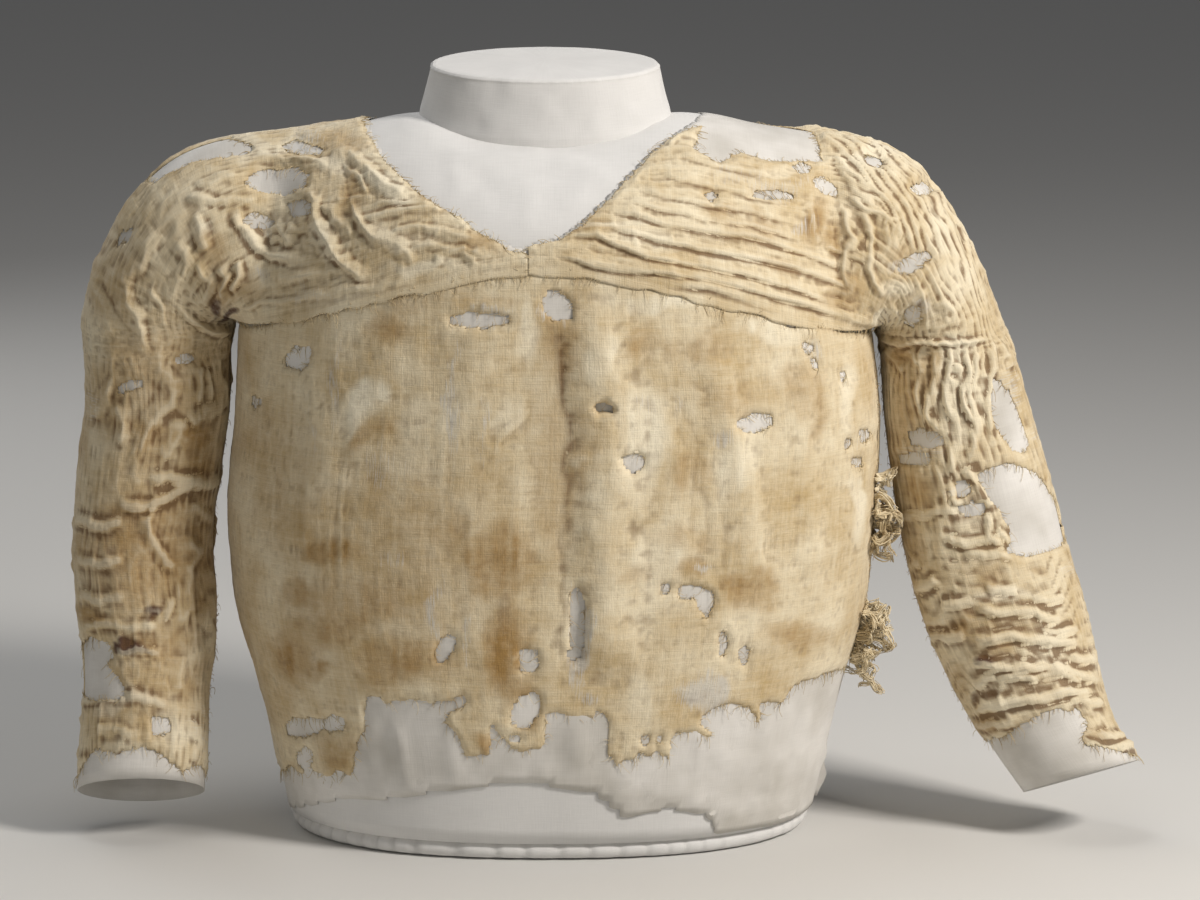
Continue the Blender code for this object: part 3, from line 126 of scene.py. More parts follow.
def scattered(cells: Array, seed: int) -> Array:
    """A fixed number from 0 to 1 for each row of whole numbers, scattered by multiplying and folding its bits."""
    factors = np.array([73856093, 19349663, 83492791], np.uint64)[: cells.shape[-1]]
    bits = (cells.astype(np.int64).astype(np.uint64) * factors).sum(-1) + np.uint64(seed * 2654435761 + 97)
    bits ^= bits >> np.uint64(15)
    bits *= np.uint64(0x2C1B3C6D)
    bits ^= bits >> np.uint64(12)
    bits *= np.uint64(0x297A2D39)
    bits ^= bits >> np.uint64(15)
    return (bits & np.uint64(0xFFFFFF)).astype(float) / float(0xFFFFFF)


def noise(points: Array, seed: int) -> Array:
    """Smooth noise from 0 to 1: fixed numbers at the corners of unit cells, joined by a smooth step on each axis.

    Args:
        points: places in cells, with 2 or 3 columns.
        seed: which noise.

    Returns:
        One number a point.
    """
    cell = np.floor(points)
    local = eased(points - cell)
    axes = points.shape[-1]
    total = np.zeros(points.shape[:-1])
    for number in range(2**axes):
        corner = np.array([number >> axis & 1 for axis in range(axes)])
        weight = np.where(corner, local, 1 - local).prod(-1)
        total += weight * scattered(cell + corner, seed)
    return total


def ridged(points: Array, seed: int) -> Array:
    """Noise with sharp crests: 1 where smooth noise is a half, falling off on both sides, in two sizes."""
    first = 1 - np.abs(2 * noise(points, seed) - 1)
    second = 1 - np.abs(2 * noise(points * 2.1 + 7.3, seed + 1) - 1)
    return 0.7 * first**2 + 0.3 * second**2


def swing(place: Array, size: float, seed: int) -> Array:
    """Noise from -0.5 to 0.5 on both axes of places, in cells of a size."""
    return joined(noise(place / size, seed), noise(place / size, seed + 1)) - 0.5


# --- the camera ---


@dataclass(frozen=True)
class PhotoView:
    """The photograph's viewing angle, as a camera that also tells where a point lies in the photograph's frame."""

    target: tuple[float, float, float] = (0.0456, 0.0, 0.351)
    distance: float = 4.2
    elevation_deg: float = 11.0
    lens_mm: float = 135.0
    sensor_mm: float = 36.0
    width: int = 1200
    height: int = 900

    def place(self, points: Array) -> Array:
        """Where points lie in the frame: offsets across and up the view over the depth, times the focal length.

        Args:
            points: an array of points, in metres.

        Returns:
            Across and down, in pixels.
        """
        tip = math.radians(self.elevation_deg)
        eye = np.array(self.target) - self.distance * np.array([0, math.cos(tip), -math.sin(tip)])
        offset = points - eye
        depth = offset @ np.array([0, math.cos(tip), -math.sin(tip)])
        rise = offset @ np.array([0, math.sin(tip), math.cos(tip)])
        focal = self.lens_mm / self.sensor_mm * self.width
        return joined(self.width / 2 + focal * offset[..., 0] / depth, self.height / 2 - focal * rise / depth)

    def build(self) -> None:
        """Make the scene's camera."""
        data = bpy.data.cameras.new("photo_view")
        data.lens = self.lens_mm
        data.sensor_width = self.sensor_mm
        camera = bpy.data.objects.new("photo_view", data)
        bpy.context.scene.collection.objects.link(camera)
        tip = math.radians(self.elevation_deg)
        back = Vector((0, -math.cos(tip), math.sin(tip)))
        camera.location = Vector(self.target) + back * self.distance
        camera.rotation_mode = "QUATERNION"
        camera.rotation_quaternion = (-back).to_track_quat("-Z", "Y")
        bpy.context.scene.camera = camera


VIEW = PhotoView()


# --- the garment's surfaces ---


@dataclass(frozen=True)
class Torso:
    """The boxy oval torso under the skirt, and the seam where the yokes stand on it."""

    heights: tuple[float, ...] = (0.000, 0.056, 0.105, 0.153, 0.202, 0.250, 0.300, 0.392, 0.465, 0.550)
    half_widths: tuple[float, ...] = (
        0.2440, 0.2555, 0.2655, 0.2780, 0.2905, 0.2955, 0.2985, 0.2950, 0.2890, 0.2800)
    half_depths: tuple[float, ...] = (0.163, 0.170, 0.175, 0.179, 0.183, 0.185, 0.187, 0.187, 0.186, 0.184)
    middles: tuple[float, ...] = (-0.002, 0.0, 0.0, 0.0, 0.0, 0.0, 0.001, 0.006, 0.004, 0.002)
    boxiness: float = 2.3
    seam_peak: float = 0.543
    seam_drop: float = 0.077
    seam_middle: float = -0.03
    seam_bend: float = 1.45
    shoulder_outs: tuple[float, ...] = (0.0, 0.060, 0.120, 0.190, 0.262)
    shoulder_tops: tuple[float, ...] = (0.650, 0.654, 0.6605, 0.6488, 0.6380)

    def size(self, height: Array) -> tuple[Array, Array, Array]:
        """Half width, half depth and middle of the torso at a height."""
        return (
            smooth(self.heights, self.half_widths, height),
            smooth(self.heights, self.half_depths, height),
            smooth(self.heights, self.middles, height),
        )

    def depth_share(self, across: Array) -> Array:
        """Share of the half depth at a share of the half width: the two, raised to the boxiness, add up to 1."""
        return np.maximum(1 - np.abs(across) ** self.boxiness, 0) ** (1 / self.boxiness)

    def across(self, turn: Array) -> Array:
        """Share of the half width at a turn round the torso."""
        return np.sign(np.cos(turn)) * np.abs(np.cos(turn)) ** (2 / self.boxiness)

    def point(self, turn: Array, height: Array) -> Array:
        """Point on the torso: turn 0 at the wearer's left, then the front, the right and the back."""
        half_width, half_depth, middle = self.size(height)
        forward = np.sign(np.sin(turn)) * np.abs(np.sin(turn)) ** (2 / self.boxiness)
        x = middle + half_width * self.across(turn)
        return joined(x, -half_depth * forward, height)

    def seam(self, across: Array) -> Array:
        """Height of the yoke seam: a peak near the middle, less a power of the distance from it."""
        return self.seam_peak - self.seam_drop * np.abs(across - self.seam_middle) ** self.seam_bend

    def arch(self, across: Array) -> tuple[Array, Array, Array, Array]:
        """Place across, foot height, half depth and rise of the arch over the shoulders at a share of the width."""
        foot = self.seam(across)
        half_width, half_depth, middle = self.size(foot)
        x = middle + half_width * across
        top = smooth(self.shoulder_outs, self.shoulder_tops, np.abs(x))
        return x, foot, half_depth * self.depth_share(across), top - foot


TORSO = Torso()


@dataclass(frozen=True)
class SleevePattern:
    """The surface of one yoke and sleeve: ribs from the centre seam over the shoulder, then rings down the arm."""

    side: Side
    pitch: float = 0.03
    girth: float = 0.42
    centre: float = -0.072
    armhole: float = 0.88
    yoke_ribs: int = 8
    seam_gap: float = 0.0003
    underarm_slit: float = 0.003
    # Ribs fanning round the armpit: outer end right and left, half depth, lower ends, lift and shift
    fan: Rows = (
        (0.3000, 0.634, 0.2900, 0.631, 0.0955, 0.088, 0.0020, 0.0010),
        (0.3380, 0.621, 0.3220, 0.617, 0.0915, 0.070, 0.0045, 0.0030),
        (0.3670, 0.600, 0.3460, 0.595, 0.0870, 0.052, 0.0065, 0.0050),
        (0.3920, 0.569, 0.3680, 0.565, 0.0810, 0.034, 0.0080, 0.0075),
        (0.4120, 0.530, 0.3900, 0.525, 0.0750, 0.018, 0.0075, 0.0100),
        (0.4245, 0.494, 0.4055, 0.490, 0.0700, 0.006, 0.0040, 0.0120),
        (0.4305, 0.466, 0.4165, 0.462, 0.0660, 0.000, -0.0030, 0.0130))
    # Rings down each arm: inner and outer edge in the front view, middle depth, half depth and tip in degrees
    right_arm: Rows = (
        (0.3010, 0.452, 0.4300, 0.449, -0.001, 0.064, 0), (0.3030, 0.432, 0.4285, 0.432, -0.003, 0.063, 0),
        (0.3030, 0.392, 0.4280, 0.392, -0.006, 0.061, 0), (0.3090, 0.347, 0.4345, 0.347, -0.010, 0.060, 0),
        (0.3165, 0.300, 0.4395, 0.300, -0.015, 0.058, 0), (0.3195, 0.254, 0.4415, 0.254, -0.022, 0.056, 3),
        (0.3160, 0.208, 0.4385, 0.208, -0.030, 0.054, 6), (0.3170, 0.168, 0.4340, 0.168, -0.038, 0.052, 10),
        (0.3225, 0.126, 0.4325, 0.126, -0.048, 0.050, 15), (0.3235, 0.085, 0.4345, 0.085, -0.056, 0.049, 21),
        (0.3245, 0.036, 0.4395, 0.034, -0.066, 0.048, 28))
    left_arm: Rows = (
        (0.3095, 0.444, 0.4240, 0.446, -0.001, 0.064, 0), (0.3110, 0.420, 0.4285, 0.427, -0.003, 0.063, 0),
        (0.3145, 0.377, 0.4400, 0.388, -0.006, 0.061, 0), (0.3205, 0.330, 0.4525, 0.346, -0.010, 0.060, 0),
        (0.3275, 0.284, 0.4655, 0.305, -0.015, 0.058, 0), (0.3360, 0.245, 0.4755, 0.265, -0.020, 0.056, 2),
        (0.3465, 0.206, 0.4860, 0.230, -0.028, 0.054, 5), (0.3600, 0.169, 0.4955, 0.194, -0.036, 0.052, 8),
        (0.3780, 0.131, 0.5035, 0.157, -0.044, 0.050, 12), (0.3970, 0.098, 0.5115, 0.123, -0.051, 0.049, 15),
        (0.4185, 0.066, 0.5240, 0.092, -0.059, 0.048, 17), (0.4420, 0.034, 0.5460, 0.063, -0.066, 0.047, 18))

    def ribs(self) -> Array:
        """All ribs, a row each: inner end, outer end, middle depth, half depth, closing and tip."""
        sign = self.side.value
        rows = []
        for across in np.linspace(self.centre, sign * self.armhole, self.yoke_ribs + 1):
            x, foot, half_depth, rise = TORSO.arch(across)
            rows.append([x, foot, x, foot + rise, 0, half_depth, 0, 0])
        rows[0][0] = rows[0][2] = rows[0][0] + sign * self.seam_gap / 2
        half_width, half_depth, middle = TORSO.size(TORSO.seam(sign))
        for row in self.fan:
            out, up = row[0:2] if self.side is Side.RIGHT else row[2:4]
            depth, end_y, lift, shift = row[4:]
            share = TORSO.depth_share(end_y / half_depth)
            closing = math.sqrt(1 - (end_y / depth) ** 2)
            foot = TORSO.seam(sign * share) + lift
            rows.append([middle + sign * (half_width * share + shift), foot, sign * out, up, 0, depth, closing, 0])
        for row in self.right_arm if self.side is Side.RIGHT else self.left_arm:
            rows.append([sign * row[0], row[1], sign * row[2], row[3], row[4], row[5], 1, math.radians(row[6])])
        return np.array(rows, float)

    def surface(self) -> Surface:
        """The surface as a function of along, in metres from the centre seam, and around, in metres of girth.

        A rib is part of an ellipse in the plane through its inner and outer end: rise times one plus sine upwards,
        half depth times cosine backwards, tipped about its length at the forearm.
        """
        rows = self.ribs()
        numbers = np.arange(len(rows))

        def surface(along: Array, around: Array) -> Array:
            """Point of the surface."""
            inner_x, inner_z, outer_x, outer_z, y_mid, half_depth, closing, tip = (
                smooth(numbers, rows[:, column], np.asarray(along) / self.pitch) for column in range(8))
            closing = np.clip(closing, 0, 1)
            reach = np.hypot(outer_x - inner_x, outer_z - inner_z)
            start = -np.arcsin(closing) + self.underarm_slit * closing
            angle = start + (np.pi - 2 * start) * np.asarray(around) / self.girth
            rise = reach / (1 + closing) * (closing + np.sin(angle))
            back = -half_depth * np.cos(angle)
            return joined(
                inner_x + (outer_x - inner_x) / reach * rise, y_mid + back * np.cos(tip),
                inner_z + (outer_z - inner_z) / reach * rise - back * np.sin(tip) + self.seam_gap / 2)

        return surface

    def neck_loop(self, edge: Rows) -> Array:
        """Outline of the piece in its pattern, with its neck edge from rows of place across and degrees over."""
        sign = self.side.value
        shares = np.linspace(-1, 1, 401)
        across = np.interp([row[0] for row in edge], TORSO.arch(shares)[0], shares)
        ribs = np.maximum(self.yoke_ribs * (across - self.centre) / (sign * self.armhole - self.centre), -1)
        neck = [(rib * self.pitch, row[1] / 180 * self.girth) for rib, row in zip(ribs, edge)]
        neck[0] = (-self.pitch, neck[0][1])
        neck[-1] = (-self.pitch, neck[-1][1])
        far = (len(self.ribs()) + 2) * self.pitch
        return np.array([(-self.pitch, -0.1), (far, -0.1), (far, self.girth + 0.1), (-self.pitch, self.girth + 0.1)]
                        + neck[::-1])

    def last(self) -> float:
        """Length of the pattern, from the centre seam to the cuff."""
        return (len(self.ribs()) - 1) * self.pitch


def outward(surface: Surface, sign: int, along: Array, around: Array) -> Array:
    """Outward direction of a surface: the cross product of its two slopes, scaled to length 1."""
    step = 0.0003
    d_along = surface(along + step, around) - surface(along - step, around)
    d_around = surface(along, around + step) - surface(along, around - step)
    normal = sign * np.cross(d_along, d_around)
    return normal / np.maximum(np.linalg.norm(normal, axis=-1, keepdims=True), 1e-12)


# --- folds, losses and stains ---


def pairs(flat: tuple[float, ...]) -> Array:
    """A flat row of numbers as places, two numbers each."""
    return np.array(flat, float).reshape(-1, 2)


@dataclass(frozen=True)
class Fold:
    """A crease along a path in the photograph's frame, in pixels; its rise is in millimetres, below 0 a trough.

    It falls off over near on the left of the path's direction, or above a path that runs to the right, and over far
    on the other side, so a knife pleat has a wide and a narrow side.
    """

    rise: float
    near: float
    far: float
    path: tuple[float, ...]

    def lines(self) -> list[Array]:
        """The paths of the fold."""
        return [pairs(self.path)]


@dataclass(frozen=True)
class Pleats:
    """A family of folds between a first and a last path, each wandering a little on its way."""

    rise: float
    near: float
    far: float
    count: int
    first: tuple[float, ...]
    last: tuple[float, ...]
    wander: float = 2.0
    seed: int = 0

    def lines(self) -> list[Array]:
        """The paths of the folds: steps from the first to the last, with finer points swung by noise."""
        found = []
        for number, share in enumerate(np.linspace(0, 1, self.count)):
            path = (1 - share) * pairs(self.first) + share * pairs(self.last)
            steps = np.linspace(0, len(path) - 1, 3 * len(path))
            fine = np.stack([np.interp(steps, np.arange(len(path)), path[:, axis]) for axis in (0, 1)], axis=-1)
            offset = swing(joined(steps * 1.3 + 9.7 * number, self.seed), 1, 3) * 2
            start, end = sorted(scattered(np.array([[number, self.seed], [number, self.seed + 50]]), 5))
            cut = slice(int(start * 0.2 * len(fine)), len(fine) - int((1 - end) * 0.3 * len(fine)))
            found.append((fine + offset * self.wander)[cut])
        return found


def folds_at(*rows: tuple[float, ...]) -> tuple[Fold, ...]:
    """Folds from rows of rise, near, far and path."""
    return tuple(Fold(*row[:3], row[3:]) for row in rows)


def fold_relief(place: Array, folds: tuple[Fold | Pleats, ...]) -> Array:
    """How far cloth stands out in its folds: crests by the highest, troughs by the deepest.

    A fold's height falls off with the share of its width that is left: by a smooth step where it is wide, and
    nearly straight, with a crisp crest, where it is narrow, so that narrow folds meet in flat facets. A knife pleat
    is over twice as wide on one side, so its face is flat and its back steep. Each fold tapers at both ends and is
    uneven between. The places are first shifted by noise of two sizes, less for knife pleats.

    Args:
        place: places in the photograph's frame.
        folds: the folds there.

    Returns:
        One height a place, in metres.
    """
    crest, trough = np.zeros(len(place)), np.zeros(len(place))
    swung = place
    for size, shift, seed in ((22.0, 8.0, 61), (8.0, 3.0, 63)):
        swung = swung + swing(place, size, seed) * shift
    straight = place + 0.3 * (swung - place)
    for fold in folds:
        knife = fold.near > 2 * fold.far
        place = straight if knife else swung
        wider = 1.0 if knife or max(fold.near, fold.far) > NARROW_FOLD else WIDENING
        reach = wider * max(fold.near, fold.far)
        for path in fold.lines():
            held = np.flatnonzero(((place > path.min(0) - reach) & (place < path.max(0) + reach)).all(1))
            if not len(held) or len(path) < 2:
                continue
            step = np.diff(path, axis=0)
            length = np.maximum(np.linalg.norm(step, axis=1), 1e-6)
            offset = place[held][:, None] - path[:-1]
            share = np.clip((offset * step).sum(-1) / length**2, 0, 1)
            gap = offset - share[..., None] * step
            distance = np.linalg.norm(gap, axis=-1)
            nearest = distance.argmin(1)
            pick = (np.arange(len(held)), nearest)
            turned = step[nearest, 0] * gap[pick][:, 1] - step[nearest, 1] * gap[pick][:, 0]
            width = wider * np.where(turned > 0, fold.far, fold.near)
            run = (np.concatenate([[0], np.cumsum(length)])[nearest] + share[pick] * length[nearest]) / length.sum()
            left = np.clip(1 - distance[pick] / width, 0, 1)
            shape = eased(left) if reach > ROUND_FOLD else 0.85 * left + 0.15 * left**2
            uneven = 0.6 + 0.7 * noise(place[held] / max(17, 2.2 * reach), 57)
            height = fold.rise / 1000 * shape * uneven * eased(np.minimum(run, 1 - run) / FOLD_TAPER)
            if fold.rise > 0:
                crest[held] = np.maximum(crest[held], height)
            else:
                trough[held] = np.minimum(trough[held], height)
    return crest + trough


def pleated(phase: Array) -> Array:
    """Height from 0 to 1 of knife pleats side by side: a straight rise over each one's face, then a steep fall."""
    share = phase - np.floor(phase)
    return np.where(share < PLEAT_FACE, share / PLEAT_FACE, (1 - share) / (1 - PLEAT_FACE))


def blurred(grid: Array) -> Array:
    """A grid with each number as the weighted mean of three before and after it, one way and then the other."""
    for axis in (0, 1):
        padded = np.pad(grid, [(3, 3) if a == axis else (0, 0) for a in (0, 1)], mode="edge")
        pieces = [np.take(padded, np.arange(k, k + grid.shape[axis]), axis=axis) for k in range(7)]
        grid = sum(weight * piece for weight, piece in zip((1, 2, 3, 3, 3, 2, 1), pieces)) / 15
    return grid


@dataclass(frozen=True)
class Spot:
    """An oval patch in the photograph's frame, in pixels, full in its middle and gone at its edge."""

    x: float
    y: float
    across: float
    down: float
    strength: float = 1.0
    turn_deg: float = 0.0


def spots_at(*rows: tuple[float, ...]) -> tuple[Spot, ...]:
    """Spots from rows of their numbers: middle, half sizes across and down, strength and turn."""
    return tuple(Spot(*row) for row in rows)


def spots(place: Array, patches: tuple[Spot, ...], streak: float = 0.0) -> Array:
    """Strength of the strongest patch at each place: a smooth step of one less the distance in ovals.

    The places are first shifted by noise of two sizes, so that no patch has a plain oval edge. The strength then
    varies by noise drawn out up and down the cloth.

    Args:
        place: places in the photograph's frame.
        patches: the patches there.
        streak: how much the strength varies.

    Returns:
        One strength a place.
    """
    total = np.zeros(len(place))
    streaks = 1 + streak * (2 * noise(place / [6.0, 60.0], 95) - 1)
    for size, shift, seed in ((34.0, 26.0, 91), (9.0, 7.0, 93)):
        place = place + swing(place, size, seed) * shift
    for patch in patches:
        turn = math.radians(patch.turn_deg)
        offset = place - [patch.x, patch.y]
        u = (offset[:, 0] * math.cos(turn) + offset[:, 1] * math.sin(turn)) / patch.across
        v = (offset[:, 1] * math.cos(turn) - offset[:, 0] * math.sin(turn)) / patch.down
        total = np.maximum(total, patch.strength * eased(1.25 * (1 - np.hypot(u, v))))
    return total * streaks


def signed_distance(points: Array, loop: Array) -> Array:
    """Distance from points to the nearest edge of a closed loop, above 0 inside it.

    A point is inside where a ray along X crosses an odd number of edges.
    """
    start, end = loop[None], np.roll(loop, -1, axis=0)[None]
    edge, offset = end - start, points[:, None] - start
    share = np.clip((offset * edge).sum(-1) / np.maximum((edge**2).sum(-1), 1e-12), 0, 1)
    distance = np.linalg.norm(offset - share[..., None] * edge, axis=-1).min(1)
    spans = (start[..., 1] > points[:, None, 1]) != (end[..., 1] > points[:, None, 1])
    level = np.where(edge[..., 1] == 0, 1, edge[..., 1])
    crossing = start[..., 0] + (points[:, None, 1] - start[..., 1]) * edge[..., 0] / level
    return np.where((spans & (crossing > points[:, None, 0])).sum(1) % 2 == 1, distance, -distance)


def cut_loops(inside: Array, place: Array, cuttable: Array, loops: Rows, reach: float) -> Array:
    """Cut losses out of a cloth where they are drawn as closed loops in the photograph's frame.

    Args:
        inside: how far inside the cloth each point lies so far, in metres.
        place: the points' places in the frame.
        cuttable: which points may be cut.
        loops: the losses.
        reach: how far from a loop's middle points are looked at, in pixels.

    Returns:
        How far inside the cloth each point lies now.
    """
    for loop in map(pairs, loops):
        held = np.flatnonzero(cuttable & (np.abs(place - loop.mean(0)) < reach).all(1))
        inside[held] = np.minimum(inside[held], -signed_distance(place[held], loop) * PIXEL)
    return inside


def past_oval(across: Array, up: Array, wide: float, high: float) -> Array:
    """How far out of an oval loss points lie, from their distances to its middle and its half sizes, in metres."""
    return (np.hypot(across / wide, up / high) - 1) * min(wide, high)


def ragged(points: Array, size: float, seed: int) -> Array:
    """Unevenness of a torn edge, from -1 to 1: noise in three sizes, each half as wide as the last."""
    total = sum(0.55**step * (2 * noise(points / size * 2.1**step, seed + step) - 1) for step in range(3))
    return total / 1.85


# --- meshes ---


def mesh_object(name: str, points: Array, faces: list, uv: Array | None = None,
                values: dict[str, Array] | None = None) -> Piece:
    """Make a smooth-shaded object at the origin out of points and faces.

    Args:
        name: the piece's name.
        points: its corners, in metres.
        faces: rows of corner numbers.
        uv: each corner's place in the cloth's pattern, in metres.
        values: named numbers for each corner that the material reads.

    Returns:
        The object, linked to the scene.
    """
    mesh = bpy.data.meshes.new(name)
    mesh.from_pydata(points.tolist(), [], faces)
    if uv is not None:
        corners = np.zeros(len(mesh.loops), np.int32)
        mesh.loops.foreach_get("vertex_index", corners)
        layer = mesh.uv_layers.new(name="pattern")
        layer.data.foreach_set("uv", uv[corners].astype(np.float32).ravel())
    for key, value in (values or {}).items():
        attribute = mesh.attributes.new(key, "FLOAT", "POINT")
        attribute.data.foreach_set("value", np.asarray(value, np.float32))
    mesh.shade_smooth()
    piece = bpy.data.objects.new(name, mesh)
    bpy.context.scene.collection.objects.link(piece)
    return piece


def strands(paths: Array, radii: Array, sides: int) -> tuple[Array, list]:
    """Many thin tapered tubes at once: rings of corners square to each path, joined ring to ring and capped.

    Args:
        paths: strands by points by 3.
        radii: strands by points.
        sides: corners of a ring.

    Returns:
        Corners and faces.
    """
    count, steps = radii.shape
    tangent = np.gradient(paths, axis=1)
    tangent /= np.maximum(np.linalg.norm(tangent, axis=-1, keepdims=True), 1e-9)
    helper = np.where(np.abs(tangent[..., 2:]) < 0.9, [0.0, 0.0, 1.0], [1.0, 0.0, 0.0])
    first = np.cross(tangent, helper)
    first /= np.maximum(np.linalg.norm(first, axis=-1, keepdims=True), 1e-9)
    second = np.cross(tangent, first)
    angle = 2 * np.pi * np.arange(sides) / sides
    ring = first[:, :, None] * np.cos(angle)[:, None] + second[:, :, None] * np.sin(angle)[:, None]
    points = (paths[:, :, None] + ring * radii[:, :, None, None]).reshape(-1, 3)
    base = (np.arange(count)[:, None, None] * steps + np.arange(steps - 1)[:, None]) * sides
    here = base + np.arange(sides)
    beside = base + (np.arange(sides) + 1) % sides
    quads = joined(here, beside, beside + sides, here + sides).reshape(-1, 4)
    start = (np.arange(count) * steps * sides)[:, None] + np.arange(sides)
    caps = np.concatenate([start[:, ::-1], start + (steps - 1) * sides])
    return points, quads.tolist() + caps.tolist()


def ring_faces(count: int, ring: int, flip: bool = False, closed: bool = False) -> list[list[int]]:
    """Faces of rings of corners, each joined to the next, with a cap at both ends.

    Args:
        count: how many rings.
        ring: corners of a ring.
        flip: whether the faces are turned round.
        closed: whether the last ring is joined to the first, with no caps.

    Returns:
        Rows of corner numbers.
    """
    here = np.arange(count * ring).reshape(count, ring)
    ahead = np.roll(here, -1, axis=0)
    faces = joined(here, ahead, np.roll(ahead, -1, axis=1), np.roll(here, -1, axis=1))
    caps = [here[0], here[-1][::-1]]
    if flip:
        faces, caps = faces[..., [0, 3, 2, 1]], [cap[::-1] for cap in caps]
    if closed:
        return faces.reshape(-1, 4).tolist()
    return faces[:-1].reshape(-1, 4).tolist() + [cap.tolist() for cap in caps]


def strand_places(count: int, along: float, around: float, corners: int) -> Array:
    """Places in the pattern for strands, one a strand, each a step further along and around than the last."""
    return np.repeat(np.arange(count)[:, None] * np.array([along, around]), corners, axis=0)


def shell(cells: Array, flip: bool) -> tuple[Array, list[list[int]], Array]:
    """Faces of a cloth cut out of a grid: its outer wall, its inner wall in blocks of four cells, and its rim.

    A block keeps the corner in the middle of a side where its neighbour there isn't a whole block, so the walls
    stay closed. The inner wall's corners are numbered after the outer wall's.

    Args:
        cells: which cells of the grid are cloth.
        flip: whether the outer wall's faces are turned round.

    Returns:
        The outer faces, the inner and rim faces, and the rim's sides as pairs of corners.
    """
    rows, columns = cells.shape
    numbers = np.arange((rows + 1) * (columns + 1)).reshape(rows + 1, columns + 1)
    corner = joined(numbers[:-1, :-1], numbers[1:, :-1], numbers[1:, 1:], numbers[:-1, 1:])
    high, wide = rows // 2, columns // 2
    whole = cells[:2 * high, :2 * wide].reshape(high, 2, wide, 2).all((1, 3))
    single = cells.copy()
    single[:2 * high, :2 * wide] &= ~np.repeat(np.repeat(whole, 2, axis=0), 2, axis=1)
    i, j = np.nonzero(whole)
    ring = np.stack([numbers[2 * i + di, 2 * j + dj] for di, dj in (
        (0, 0), (1, 0), (2, 0), (2, 1), (2, 2), (1, 2), (0, 2), (0, 1))], axis=-1)
    around = np.pad(whole, 1)
    wanted = np.ones(ring.shape, bool)
    wanted[:, 1::2] = ~joined(around[i + 1, j], around[i + 2, j + 1], around[i + 1, j + 2], around[i, j + 1])
    outer = corner[cells][:, ::-1] if flip else corner[cells]
    way = 1 if flip else -1
    inner = [(row[kept][::way] + numbers.size).tolist() for row, kept in zip(ring, wanted)]
    inner += (corner[single][:, ::way] + numbers.size).tolist()
    sides = np.concatenate([outer[:, [k, (k + 1) % 4]] for k in range(4)])
    low, top = sides.min(1), sides.max(1)
    _, first, count = np.unique(low * numbers.size + top, return_index=True, return_counts=True)
    rim = sides[first[count == 1]]
    inner += np.concatenate([rim[:, ::-1], rim + numbers.size], axis=1).tolist()
    return outer, inner, rim


